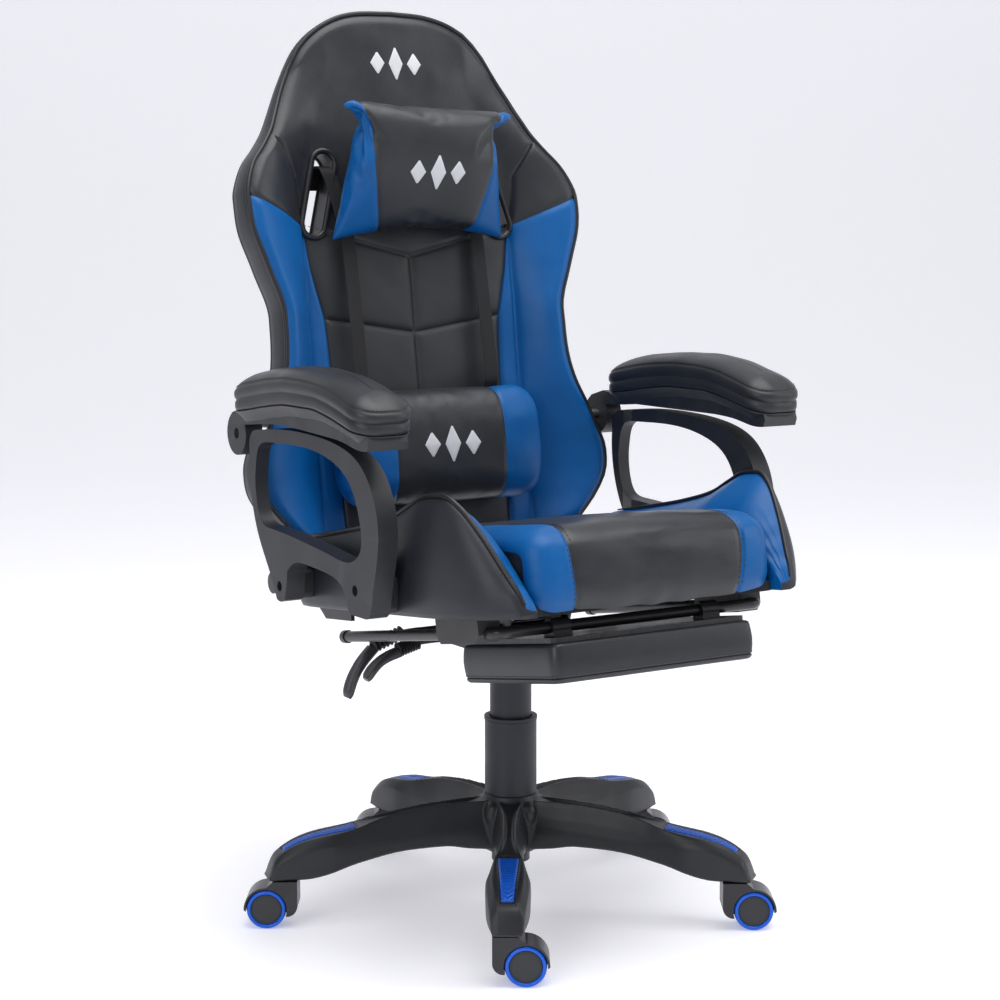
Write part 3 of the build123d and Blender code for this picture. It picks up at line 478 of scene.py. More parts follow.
def lever_piece(name, y, pivot, elbow, blade_start, blade_tip, width, body):
    """Rod, sleeve and paddle of one lever."""
    elbow_point = np.array((elbow[0], y, elbow[1]), float)
    start_point = np.array((blade_start[0], y, blade_start[1]), float)
    rod_line = [(-36, y, pivot), (-60, y, pivot), (elbow[0] + 12, y, pivot)]
    rod_line += [tuple(elbow_point * (1 - t) + start_point * t) for t in (0.12, 0.5, 1)]
    rod = along_path(smooth_path(rod_line, 6), [3.8] * 31)
    ribs, line, radii = 8, [], []
    for k in range(ribs * 8 + 1):
        t = k / (ribs * 8)
        line.append(elbow_point * (1 - t) + start_point * t)
        radii.append(7.6 + 2.2 * math.cos(2 * math.pi * (k % 8) / 8 + math.pi))
    sleeve = along_path(line, radii, sides=24)
    run = np.array(blade_tip, float) - np.array(blade_start, float)
    length = float(np.hypot(*run))
    along = run / length
    up = np.array((-along[1], along[0])) * (1 if along[0] < 0 else -1)
    if up[1] < 0:
        up = -up
    rings = []
    for t in np.linspace(0, 1, 28):
        bow = 8 * math.sin(math.pi * min(1, t * 0.9))
        middle = np.array(blade_start) + along * (length * t) + up * (bow - 3)
        taper = np.interp(t, [0, 0.12, 0.35, 0.8, 0.94, 1], [0.62, 0.7, 0.86, 1, 0.93, 0.6])
        half_width = width / 2 * float(taper)
        half_thick = float(np.interp(t, [0, 0.15, 0.5, 0.9, 1], [7.5, 7, 5, 4.4, 3]))
        ring = []
        for k in range(28):
            angle = 2 * math.pi * k / 28
            c, s = math.cos(angle), math.sin(angle)
            across = half_width * math.copysign(abs(c) ** 0.55, c)
            thick = half_thick * math.copysign(abs(s) ** 0.7, s)
            if s > 0:
                thick -= 1.4 * max(0, 1 - abs(across) / (half_width * 0.8)) * (0.25 < t < 0.9)
            spot = middle + up * thick
            ring.append((spot[0], y + across, spot[1]))
        rings.append(ring)
    paddle = loft(rings)
    skins = [rod, sleeve, paddle]
    finishes = [k for k, skin in enumerate(skins) for _ in skin[1]]
    lever_finishes = [black_steel, sleeve_rubber, paddle_plastic]
    lever = make_piece(f"{name}_finished", *join_skins(*skins), lever_finishes, finishes)
    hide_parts(name)
    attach(lever, body)


lever_piece("height_lever", 106, 354, (-100, 354), (-147, 339), (-184, 276), 24, "height_lever")
lever_piece("tilt_lever", 80, 344, (-92, 344), (-124, 336), (-170, 303), 22, "tilt_lever")


# ---------------------------------------------------------------- seat cushion
# Moulded foam on a plywood board under synthetic leather: a black centre between two blue side bands,
# sewn with plain seams, its sides closed by black gussets and its front edge stapled under the board.

black_leather = grained("black leather", (0.020, 0.022, 0.026), 0.36, 1.5, 0.16, mottle=0.1, cells=0.55)
blue_leather = grained(
    "blue leather", (0.001, 0.088, 0.29), 0.4, 1.5, 0.14, mottle=0.08, cells=0.55, shine=0.26
)
thread = grained("black sewing thread", (0.02, 0.02, 0.022), 0.6, 0.4, 0.05)
SEAT_PITCH = math.radians(6)


def on_seat(x, u, w):
    """Point of the seat: x across, u back along its underside, w up from its underside."""
    return (
        x,
        u * math.cos(SEAT_PITCH) + w * math.sin(SEAT_PITCH),
        412 - u * math.sin(SEAT_PITCH) + w * math.cos(SEAT_PITCH),
    )


def unevenness(x, y, size, height):
    """Slow hand-made unevenness of a stuffed surface."""
    return height * noise.noise(Vector((x / size, y / size, 0.37)))


def spread(count, gather=0.6):
    """Places from 0 to 1 that gather towards both ends, where the seams are."""
    waves = [0.5 * (1 - math.cos(math.pi * k / count)) for k in range(count + 1)]
    return [gather * wave + (1 - gather) * k / count for k, wave in enumerate(waves)]


seat_profile = smooth_path(
    [
        (0, -326, 1), (0, -334, 18), (0, -336, 45), (0, -333, 70), (0, -324, 88), (0, -305, 100),
        (0, -280, 104),
        (0, -240, 104), (0, -170, 101.5), (0, -100, 99), (0, -30, 95), (0, 40, 91), (0, 95, 87), (0, 120, 78),
        (0, 129, 60), (0, 130, 30), (0, 129, 13),
    ],
    7,
)
seat_profile += [np.array((0, u, 13)) for u in np.linspace(118, -300, 30)] + [np.array((0, -314, 8))]
KEEL_W = 46
side_positions = [118 * f for f in spread(18)] + [118 + 54 * f for f in spread(22, 0.5)][1:]
gusset = [0.12, 0.24, 0.4, 0.6, 0.8, 0.97]


def seat_ring(x, extra=0.0):
    """Closed section of the cushion at x; extra runs from 0 at its edge to 1 at the middle of its side."""
    reach = min(1, max(0, (abs(x) - 142) / 30))
    fall = 4.5 * (x / 150) ** 2 + 25 * (1 - math.sqrt(1 - min(0.999, reach**2)))
    ring = []
    for point in seat_profile:
        u, w = point[1], point[2]
        keel = np.array((min(105, max(-280, u)), KEEL_W))
        gap = np.array((u, w)) - keel
        distance = float(np.hypot(*gap))
        outward = gap / distance
        under = w < 14.5 and u > -319
        drop = 0 if under else min(fall, 0.8 * distance)
        front = max(0, min(1, (-u - 285) / 40))
        seam = 118 + 4 * front - 7 * front * max(0, (60 - w) / 60)
        drop += 2.6 * math.exp(-(((abs(x) - 118) / 2.6) ** 2))
        shift = (seam - 118) * min(1, abs(x) / 118) if abs(x) <= 118 else (seam - 118) * (172 - abs(x)) / 54
        if not under:
            drop -= unevenness(x, u + 2 * w, 46, 1.1) + unevenness(x, u + 2 * w, 17, 0.35)
            if front > 0.9 and w < 26:
                drop += 1.3 * math.sin(x / 9.5 + 1.3 * math.sin(x / 31)) * (26 - w) / 26
        place = keel + outward * (distance - drop)
        place = keel + (place - keel) * (1 - extra)
        side = 172 - 1.5 * math.sin(math.pi * min(1, extra * 2)) if extra else abs(x)
        ring.append(on_seat(math.copysign(side + (0 if extra else shift), x) if x else 0, *place))
    return ring


rings = [seat_ring(-172, g) for g in reversed(gusset)] + [seat_ring(-x) for x in reversed(side_positions[1:])]
rings += [seat_ring(x) for x in side_positions] + [seat_ring(172, g) for g in gusset]
seat_points, seat_faces = loft(rings)
per_ring = len(seat_profile)
first_blue, last_ring = len(gusset) + 22, len(rings) - 1
finishes = []
for face in seat_faces:
    if len(face) > 4:
        finishes.append(0)
        continue
    ring, place = divmod(min(face), per_ring)
    ring = min(ring, last_ring - 1 - ring) if ring > last_ring / 2 else ring
    blue_band = len(gusset) <= ring < first_blue
    under = seat_profile[min(place, per_ring - 1)][2] < 14 and place > 60
    finishes.append(1 if blue_band and not under else 0)
seat_cover = make_piece(
    "seat_cover", seat_points, seat_faces, [black_leather, blue_leather], finishes, crease=60
)


def stitches(line, length=4.2, gap=2.2, radius=0.42):
    """Skin of a row of stitches along a line."""
    line = [np.array(p, float) for p in line]
    lengths = np.r_[0, np.cumsum([np.linalg.norm(b - a) for a, b in zip(line, line[1:])])]
    coordinates = np.array(line)
    skins, start = [], gap
    while start + length < lengths[-1]:
        ends = [np.array([np.interp(s, lengths, coordinates[:, c]) for c in range(3)])
                for s in (start, start + 0.25 * length, start + 0.75 * length, start + length)]
        skins.append(along_path(ends, [0.35 * radius, radius, radius, 0.35 * radius], sides=6))
        start += length + gap
    return join_skins(*skins)


def seat_surface(x, k):
    """Point of the cushion's top at x, at the k-th place of its profile."""
    return np.array(seat_ring(x)[k])


seam_rows = []
for x in (-121.5, -114.5, 114.5, 121.5):
    seam_rows.append(stitches([seat_surface(x, k) for k in range(4, 100)]))
seat_stitching = make_piece("seat_stitching", *join_skins(*seam_rows), [thread])
for piece in (seat_cover, seat_stitching):
    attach(piece, "seat")
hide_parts("seat_cushion")
# The board is finished black where its edge shows under the seat's front. There it stands partly for the
# cover wrapped over the edge and partly for painted shade along the dark shadow line below it.
board_black_painted_shade = grained("black board wrap and painted shade", (0.012, 0.012, 0.014), 0.85, 0.8, 0.2, mottle=0.2)
finish_with("seat_board", board_black_painted_shade)


# ---------------------------------------------------------------- seat wings
# Raised foam bolsters along both sides of the seat: blue leather on the sitter's side, dark leather
# outside, joined by black piping along the ridge and gathered where the ridge dives to the front.

ridge_u = [-335, -330, -320, -308, -288, -262, -231, -200, -165, -128, -60, 0, 60, 110, 128]
ridge_w = [12, 26, 42, 62, 93, 124, 139, 138, 127, 114, 102, 95.5, 90.5, 86, 74]
ridge_x = [188, 192, 197, 203, 212, 222, 229, 232, 235, 238, 241, 242, 242, 240, 232]
ridge_height, ridge_across = curve_through(ridge_u, ridge_w), curve_through(ridge_u, ridge_x)
outer_across = curve_through(
    [-336, -328, -300, -250, -180, 60, 110, 128], [195, 203, 226, 243, 249.5, 249.5, 246, 236]
)
cushion_top = curve_through([-336, -330, -305, -280, -170, 40, 110, 130], [40, 66, 86, 90, 88, 80, 76, 62])
outer_leather = grained("outer black leather", (0.014, 0.016, 0.022), 0.42, 1.5, 0.16, mottle=0.1, cells=0.55)
piping_leather = grained("piping leather", (0.012, 0.012, 0.014), 0.33, 1.2, 0.08, cells=0.4)


def wing_ring(u, side):
    """Closed section of a wing: up its inner face, over the ridge and down its outer face."""
    across, height = float(ridge_across(u)), float(ridge_height(u))
    outside = max(float(outer_across(u)), across + 5)
    inner_low = min(float(cushion_top(u)) - 8, 0.62 * height)
    inner = [(174.5, 0.5), (174.5, inner_low * 0.35), (174.5, inner_low * 0.75), (174.5, inner_low)]
    low, ridge = np.array((174.5, inner_low)), np.array((across, height))
    control = np.array((174.5 + 0.38 * (across - 174.5), inner_low + 0.66 * (height - inner_low)))
    face = []
    for t in np.linspace(0, 1, 22)[1:]:
        spot = (1 - t) ** 2 * low + 2 * t * (1 - t) * control + t * t * ridge
        gather = max(0, min(1, (-u - 262) / 55)) * math.sin(math.pi * t)
        fold = 1.5 * gather * math.sin(u / 2.7 + 5 * t) + 0.9 * gather * math.sin(t * 26 + u / 7)
        spot += np.array((-0.75, 0.4)) * fold
        spot += np.array((-0.7, 0.5)) * unevenness(u, spot[1] * 1.4, 38, 1.6) * math.sin(math.pi * t)
        face.append(tuple(spot))
    shoulder = np.array((outside, 0.40 * height))
    over = np.array((outside - 0.12 * (outside - across), height - 1))
    back = []
    for t in np.linspace(0, 1, 16)[1:]:
        spot = (1 - t) ** 2 * ridge + 2 * t * (1 - t) * over + t * t * shoulder
        spot[0] += unevenness(u, spot[1], 50, 1.2) * math.sin(math.pi * t)
        back.append(tuple(spot))
    foot = [(outside, 0.22 * height), (outside - 0.5, min(7, 0.1 * height + 3))]
    foot += [(outside - 3, 2), (outside - 8, 0.5)]
    under = [(outside - 8 - (outside - 182.5) * t, 0.5) for t in (0.33, 0.66)]
    return [on_seat(side * x, u, max(0.3, w)) for x, w in inner + face + back + foot + under]


wing_stations = sorted(set(np.linspace(-335, -250, 46)) | set(np.linspace(-250, 128, 70)))
for side, name in ((-1, "left"), (1, "right")):
    skin_points, skin_faces = loft([wing_ring(float(u), side) for u in wing_stations])
    ring_size = 4 + 21 + 15 + 4 + 2
    finishes = []
    for face in skin_faces:
        place = min(face) % ring_size if len(face) == 4 else 99
        low_place = min(i % ring_size for i in face)
        high_place = max(i % ring_size for i in face)
        finishes.append(0 if len(face) == 4 and low_place < 24 and high_place < 25 else 1)
    leathers = [blue_leather, outer_leather]
    wing = make_piece(f"seat_wing_cover_{name}", skin_points, skin_faces, leathers, finishes, 60)
    wing_line = [on_seat(side * (float(ridge_across(u)) + 0.6), u, float(ridge_height(u)) + 1.6)
                 for u in np.linspace(-334, 96, 160)]
    taper = [3.0 * float(np.interp(k, [0, 4, 140, 159], [0.5, 1, 1, 0.3])) for k in range(160)]
    piping = make_piece(f"seat_wing_piping_{name}", *along_path(wing_line, taper, sides=14), [piping_leather])
    for piece in (wing, piping):
        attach(piece, "seat")
    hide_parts("seat_wings")


# ---------------------------------------------------------------- recliner
# Steel plates on both sides carry the backrest's hinge under round plastic covers; the release lever
# sits on the sitter's right, behind the foot of the arm frame.

cover_plastic = grained("recliner cover plastic", (0.02, 0.02, 0.022), 0.42, 0.6, 0.04, wear=0.2)
for plate in ("recliner_plates", "recliner_arms", "recline_lever", "back_frame"):
    finish_with(plate, black_steel)
soften("recliner_covers", cover_plastic, 0.6)
for bolt in ("arm_bolts", "arm_pivot_bolts"):
    finish_with(bolt, zinc)


# ---------------------------------------------------------------- arm frames
# Open nylon brackets on both sides, each with two feet bolted through the seat's side, a window for
# the hand and a brace; the armrest's pad rides over their top when the back reclines.

frame_plastic = grained("arm frame plastic", (0.016, 0.017, 0.020), 0.46, 0.7, 0.05, mottle=0.14, wear=0.3)
for name in ("left", "right"):
    soften(f"arm_frame_{name}", frame_plastic, 2.6, angle=38)


# ---------------------------------------------------------------- footrest
# A U of painted steel rod slides in two brackets under the seat. A boxed, padded board hangs on its
# crossbar and folds under the seat; its cover is sewn with a seam along the bottom edge.

for rod in ("footrest_rails", "footrest_board"):
    finish_with(rod, black_steel)
soften("footrest_guides", knob_plastic, 1.5)
RAIL_PITCH = math.radians(9.8)
PAD_CORNER = 12


def on_rails(x, run, rise):
    """Point in the footrest's frame: run goes back along the rods, rise is up from them."""
    return (
        x,
        -272 + run * math.cos(RAIL_PITCH) + rise * math.sin(RAIL_PITCH),
        422 - run * math.sin(RAIL_PITCH) + rise * math.cos(RAIL_PITCH),
    )


def pad_ring(inset, rise, corner=PAD_CORNER, crown=0.0):
    """Rounded rectangle of the pad at one height."""
    half_x, half_y, middle = 144 - inset, 104.5 - inset, 60.5
    corner = max(2.0, corner - inset * 0.5)
    ring = []
    for cx, cy, start in ((1, 1, 0), (-1, 1, 90), (-1, -1, 180), (1, -1, 270)):
        for k in range(9):
            angle = math.radians(start + 90 * k / 8)
            across = cx * (half_x - corner) + corner * math.cos(angle)
            along = cy * (half_y - corner) + corner * math.sin(angle)
            ring.append((across, along))
        ax, ay = ring[-1]
        ahead = (start + 90) % 360
        cx2, cy2 = {0: (1, 1), 90: (-1, 1), 180: (-1, -1), 270: (1, -1)}[ahead]
        first = (
            cx2 * (half_x - corner) + corner * math.cos(math.radians(ahead)),
            cy2 * (half_y - corner) + corner * math.sin(math.radians(ahead)),
        )
        ring += [(ax + (first[0] - ax) * t, ay + (first[1] - ay) * t) for t in np.linspace(0, 1, 26)[1:-1]]
    out = []
    for x, y in ring:
        middle_x, middle_y = 1 - (x / half_x) ** 2, 1 - (y / half_y) ** 2
        out.append(on_rails(x, middle + y, rise - crown * max(0, middle_x) ** 0.5 * max(0, middle_y) ** 0.5
                            + unevenness(x, y, 40, 0.8) * (crown > 0)))
    return out


pad_rings = [pad_ring(inset, -18, crown=0) for inset in (90, 60, 30, 12)]
PAD_SIDE = [
    (4, -17.2), (1.2, -18.5), (0.2, -22), (-0.8, -30), (-1.4, -38), (-1.0, -46), (-0.2, -53), (0.3, -56),
    (1.6, -57.2), (0.4, -58.4),
]
pad_rings += [pad_ring(inset, rise) for inset, rise in PAD_SIDE]
pad_rings += [pad_ring(1.2, -61), pad_ring(3.6, -63), pad_ring(8, -63.4, crown=0.3)]
pad_rings += [pad_ring(inset, -63.4, crown=0.6) for inset in (14, 24, 38, 55, 72, 88, 97)]
footrest_cover = make_piece("footrest_cover", *loft(pad_rings), [black_leather], crease=50)
seam_line = pad_ring(-0.2, -54.6)
footrest_seam = make_piece("footrest_seam", *stitches(seam_line + seam_line[:1]), [thread])
for piece in (footrest_cover, footrest_seam):
    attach(piece, "footrest_flap")
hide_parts("footrest_pad")


# ---------------------------------------------------------------- backrest
# Moulded foam over a steel tube frame, upholstered in synthetic leather: a quilted black centre, blue
# wings with black shoulders and headrest, black piping round the front edge, and two harness slots.

BACK_LEAN = math.radians(8.25)
SLOT_X, SLOT_V, SLOT_LONG, SLOT_WIDE, SLOT_TURN = 134, 272, 118, 34, 15.5
panel_leather = grained(
    "quilted centre leather", (0.021, 0.022, 0.025), 0.5, 1.1, 0.14, mottle=0.08, cells=0.5
)


def on_back(x, v, depth):
    """Point of the backrest: v runs up its centre panel, depth is towards the sitter."""
    return (
        x,
        230 + v * math.sin(BACK_LEAN) - depth * math.cos(BACK_LEAN),
        655 + v * math.cos(BACK_LEAN) + depth * math.sin(BACK_LEAN),
    )


rim_across = curve_through(
    [-184, -153, -124, -94, -43, 3, 45, 108, 172, 230, 266, 287, 311, 330, 352, 377, 413, 440],
    [215, 245, 264, 268, 250, 229, 217, 214, 233, 251, 252.5, 247, 235, 219, 203, 190, 173, 159],
)
top_edge = curve_through([0, 60, 90, 122, 144, 159], [520, 516, 507, 488, 465, 440])
bottom_edge = curve_through([0, 120, 170, 215], [-205, -204.9, -202, -184])
edge_lift = curve_through([-205, 230, 262, 300, 350, 394, 430, 521], [45, 45, 43, 35, 20, 6, -2, -8])
lift_start = curve_through([-205, 235, 300, 349, 430], [160, 160, 156, 142, 112])

# Rows that follow a seam: heights at the middle, the panel's edge, the wing's seam and the rim, then
# how far out the panel's edge and the wing's seam are.
SEAM_ROWS = [
    (-205, -204.8, -202.6, -184, 128, 165),
    (-125, -108, -104, -100, 130, 162),
    (-20, 1, 5, 8, 131, 162),
    (85, 106, 108, 112, 136, 162),
    (142, 172, 177, 198, 153, 162),
    (190, 229, 229.5, 265, 160, 161.5),
    (262, 283, 298, 320, 122, 170),
    (330, 336, 341, 349, 126, 198),
    (440, 440, 440, 440, 95, 152),
]
ROWS_BETWEEN = [16, 18, 20, 12, 14, 16, 14, 36]
COLUMNS_BETWEEN = [24, 9, 22]


def seam_row(t, column):
    """A value of SEAM_ROWS between rows, t counted in rows."""
    k = min(len(SEAM_ROWS) - 2, int(t))
    return SEAM_ROWS[k][column] * (1 - (t - k)) + SEAM_ROWS[k + 1][column] * (t - k)


def depth_at(x, v, rim_gap):
    """Height of the padding over the plane of the centre panel, without its seams."""
    start, lift, rim = float(lift_start(v)), float(edge_lift(v)), float(rim_across(v))
    out = min(1, max(0, (abs(x) - start) / max(1, rim - start)))
    depth = lift * (1 - (1 - out) ** 1.75)
    depth -= 7 * max(0, 1 - rim_gap / 15) ** 2
    return depth + unevenness(x + 300, v, 60, 1.6) + unevenness(x, v + 500, 24, 0.5)


row_places = [0.0]
for k, count in enumerate(ROWS_BETWEEN):
    row_places += [k + f for f in spread(count)[1:]]
front = []
for t in row_places:
    heights = [seam_row(t, c) for c in range(4)]
    marks = [0, seam_row(t, 4), seam_row(t, 5), float(rim_across(heights[3]))]
    half = []
    for k, count in enumerate(COLUMNS_BETWEEN):
        for f in spread(count)[(0 if k == 0 else 1):]:
            x = marks[k] + (marks[k + 1] - marks[k]) * f
            v = heights[k] + (heights[k + 1] - heights[k]) * f
            if t > 7:
                ends = [0, SEAM_ROWS[8][4], SEAM_ROWS[8][5], float(rim_across(440))]
                seam_v = SEAM_ROWS[7][k] + (SEAM_ROWS[7][k + 1] - SEAM_ROWS[7][k]) * f
                edge_v = float(top_edge(ends[k] + (ends[k + 1] - ends[k]) * f))
                v = seam_v * (8 - t) + (t - 7) * edge_v
            elif t < 1:
                ends = [0, SEAM_ROWS[0][4], SEAM_ROWS[0][5], float(rim_across(-184))]
                seam_v = SEAM_ROWS[1][k] + (SEAM_ROWS[1][k + 1] - SEAM_ROWS[1][k]) * f
                edge_v = float(bottom_edge(ends[k] + (ends[k + 1] - ends[k]) * f))
                v = seam_v * t + (1 - t) * edge_v
            half.append((x, v, k))
    front.append([(-x, v, k) for x, v, k in half[:0:-1]] + half)

columns = len(front[0])


def seam_gap(x, v, t, part):
    """Distance to the nearest sewn seam."""
    gaps = [abs(abs(x) - seam_row(t, 5)) if t <= 7 else 99]
    if t < 5.2 and part < 2:
        gaps.append(abs(abs(x) - seam_row(t, 4)))
    if part == 0 and t <= 5:
        gaps.append(abs(x))
    for guide in (2, 3, 5):
        if part == 0 or (guide == 5 and part == 2):
            marks = [0, SEAM_ROWS[guide][4], SEAM_ROWS[guide][5], float(rim_across(SEAM_ROWS[guide][3]))]
            gaps.append(abs(v - float(np.interp(abs(x), marks, SEAM_ROWS[guide][:4]))))
    return min(gaps)


points = []
for t, row in zip(row_places, front):
    for x, v, part in row:
        a = abs(x)
        side_gap = (float(rim_across(v)) - a) if -184 < v < 440 else 99
        gap = min(side_gap, float(top_edge(a)) - v if a < 159 and v > 380 else 99,
                  v - float(bottom_edge(a)) if a < 215 and v < -120 else 99)
        depth = depth_at(x, v, max(0, gap))
        seam = seam_gap(x, v, t, part)
        groove = 2.8 if part < 2 else 2.2
        depth -= groove * math.exp(-((seam / 2.6) ** 2))
        if part == 0 and t < 5:
            depth += 3.2 * (1 - math.exp(-seam / 13)) - 2
        if part == 2 and t < 7:
            depth += 1.5 * (1 - math.exp(-seam / 10))
        points.append(on_back(x, v, depth))
faces, finishes = [], []
for r in range(len(front) - 1):
    for c in range(columns - 1):
        a = r * columns + c
        faces.append((a, a + 1, a + columns + 1, a + columns))
        part = max(front[r][c][2], front[r][c + 1][2])
        t = 0.5 * (row_places[r] + row_places[r + 1])
        if part == 0:
            finishes.append(2 if t < 5 else 0)
        elif part == 1:
            finishes.append(1 if t < 4.75 else 0)
        else:
            finishes.append(1 if t < 5 else 0)

# The border runs back from the piping, then turns over a seam into the rear panel.
rim_loop = [(0, c) for c in range(columns)] + [(r, columns - 1) for r in range(1, len(front))]
rim_loop += [(len(front) - 1, c) for c in range(columns - 2, -1, -1)]
rim_loop += [(r, 0) for r in range(len(front) - 2, 0, -1)]
flat = [np.array(front[r][c][:2]) for r, c in rim_loop]
outward = []
for k in range(len(flat)):
    run = flat[(k + 1) % len(flat)] - flat[k - 1]
    outward.append(np.array((run[1], -run[0])) / max(1e-6, np.linalg.norm(run)))
outward = [sum(outward[(k + i) % len(flat)] for i in range(-2, 3)) / 5 for k in range(len(flat))]


def rear_spot(x, v):
    """Place on the rear panel that lies behind a place on the front."""
    return x * (1 - 24 / max(60, float(rim_across(min(440, max(-184, v)))))), 158 + (v - 158) * (1 - 24 / 363)


def rear_depth(x, v, a):
    """Depth of the rear panel, crowned in the middle, with one seam down each side."""
    rim = max(60, float(rim_across(min(440, max(-184, v)))))
    return -35.5 - 3 * (1 - min(1, a / rim) ** 2) + 2.2 * math.exp(-(((a - 0.55 * rim) / 2.4) ** 2))


previous = [r * columns + c for r, c in rim_loop]
BORDER = [
    (0.03, 1.4, 0), (0.1, 2.6, 0), (0.24, 3.4, 0), (0.42, 3.6, 0), (0.55, 2.8, 0), (0.6, 1.4, 0),
    (0.64, 2.2, 0), (0.74, 1.2, 0.1), (0.84, 0, 0.3), (0.93, 0, 0.6),
]
for share, bulge, inward in BORDER:
    ring = []
    for k, (r, c) in enumerate(rim_loop):
        x, v = flat[k]
        front_depth = depth_at(x, v, 0)
        rx, rv = rear_spot(x, v)
        depth = front_depth + (rear_depth(rx, rv, abs(rx)) - front_depth) * share
        spot = (flat[k] + outward[k] * bulge) * (1 - inward) + np.array((rx, rv)) * inward
        points.append(on_back(spot[0], spot[1], depth))
        ring.append(len(points) - 1)
    for k in range(len(ring)):
        faces.append((previous[k], previous[(k + 1) % len(ring)], ring[(k + 1) % len(ring)], ring[k]))
        finishes.append(3)
    previous = ring
rear_start = len(points)
for t, row in zip(row_places, front):
    for x, v, part in row:
        rx, rv = rear_spot(x, v)
        points.append(on_back(rx, rv, rear_depth(rx, rv, abs(rx))))
for r in range(len(front) - 1):
    for c in range(columns - 1):
        a = rear_start + r * columns + c
        faces.append((a, a + columns, a + columns + 1, a + 1))
        finishes.append(3)
rear_rim = [rear_start + r * columns + c for r, c in rim_loop]
for k in range(len(rear_rim)):
    n = (k + 1) % len(rear_rim)
    faces.append((previous[k], previous[n], rear_rim[n], rear_rim[k]))
    finishes.append(3)

back_leathers = [black_leather, blue_leather, panel_leather, outer_leather]
back_cover = make_piece("backrest_cover", points, faces, back_leathers, finishes, crease=70)


def slot_line(side, grow, count=56):
    """Outline of a harness slot, as (x, v) places."""
    half = (SLOT_LONG - SLOT_WIDE) / 2
    turn = math.radians(SLOT_TURN) * side
    line = []
    for k in range(count):
        angle = 2 * math.pi * k / count
        px = (SLOT_WIDE / 2 + grow) * math.cos(angle)
        pv = (SLOT_WIDE / 2 + grow) * math.sin(angle) + (half if k < count / 2 else -half)
        x = side * SLOT_X + px * math.cos(turn) - pv * math.sin(turn)
        line.append((x, SLOT_V + px * math.sin(turn) + pv * math.cos(turn)))
    return line


slot_trims = []
for side in (-1, 1):
    cutter = make_piece(
        "slot cutter",
        *loft([[on_back(x, v, depth) for x, v in slot_line(side, -0.5)] for depth in (-80, 80)]),
        [black_leather],
    )
    cut = back_cover.modifiers.new("harness slot", "BOOLEAN")
    cut.operation = "DIFFERENCE"
    cut.solver = "EXACT"
    cut.object = cutter
    applied(back_cover)
    bpy.data.objects.remove(cutter)
    front_trim = [on_back(x, v, depth_at(x, v, 60) + 0.2) for x, v in slot_line(side, 0.6, 72)]
    rear_trim = [on_back(x, v, rear_depth(x, v, abs(x)) - 0.2) for x, v in slot_line(side, 0.6, 72)]
    slot_trims.append(along_path(front_trim, [4.2] * 72, sides=14, closed=True, start_normal=(0, 1, 0)))
    slot_trims.append(along_path(rear_trim, [3.4] * 72, sides=12, closed=True, start_normal=(0, 1, 0)))
back_cover.data.set_sharp_from_angle(angle=math.radians(60))
slot_edging = make_piece("harness_slot_edging", *join_skins(*slot_trims), [piping_leather])

piping_line = []
for k in range(len(rim_loop)):
    x, v = flat[k] + outward[k] * 1.6
    piping_line.append(on_back(x, v, depth_at(*flat[k], 0) + 0.6))
piping_line = [p for k, p in enumerate(piping_line) if k % 2 == 0]
piping_skin = along_path(piping_line, [3.1] * len(piping_line), closed=True, start_normal=(0, 1, 0))
back_piping = make_piece("backrest_piping", *piping_skin, [piping_leather])

seam_skins = []


def sew(places):
    """Adds a row of stitches that follows (x, v) places on the front of the backrest."""
    seam_skins.append(stitches([on_back(x, v, depth_at(x, v, 60) - 3.6) for x, v in places]))


SEAM_MARGIN = 2.6
for guide in (2, 3, 5):
    for side in (-1, 1):
        marks = [0, SEAM_ROWS[guide][4]]
        across = np.linspace(2, marks[1], 40)
        up = np.interp(across, marks, SEAM_ROWS[guide][:2]) + SEAM_MARGIN
        sew([(side * x, float(v)) for x, v in zip(across, up)])
sew([(2.4, v) for v in np.linspace(-120, 189, 60)])
for side in (-1, 1):
    sew([(side * (seam_row(t, 4) - 2.4), seam_row(t, 1)) for t in np.linspace(1, 5, 70)])
back_stitching = make_piece("backrest_stitching", *join_skins(*seam_skins), [thread])

for piece, slot in (
    (back_cover, "two_tone_leather"), (slot_edging, "two_tone_leather"), (back_piping, "two_tone_leather"),
    (back_stitching, "two_tone_leather"),
):
    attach(piece, "backrest")
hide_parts("back_cushion")


# ---------------------------------------------------------------- head pillow
# Loose fibre-filled pillow sewn from a black middle and two blue ends. Its four corners stand out like
# ears and its top and sides pull in between them.

PILLOW_MIDDLE, PILLOW_LEAN = np.array((0, 219, 953.5)), math.radians(10)


def on_pillow(across, up, out):
    """Point of the head pillow, out is towards the sitter."""
    return (
        across,
        PILLOW_MIDDLE[1] - up * math.sin(PILLOW_LEAN) - out * math.cos(PILLOW_LEAN),
        PILLOW_MIDDLE[2] + up * math.cos(PILLOW_LEAN) - out * math.sin(PILLOW_LEAN),
    )


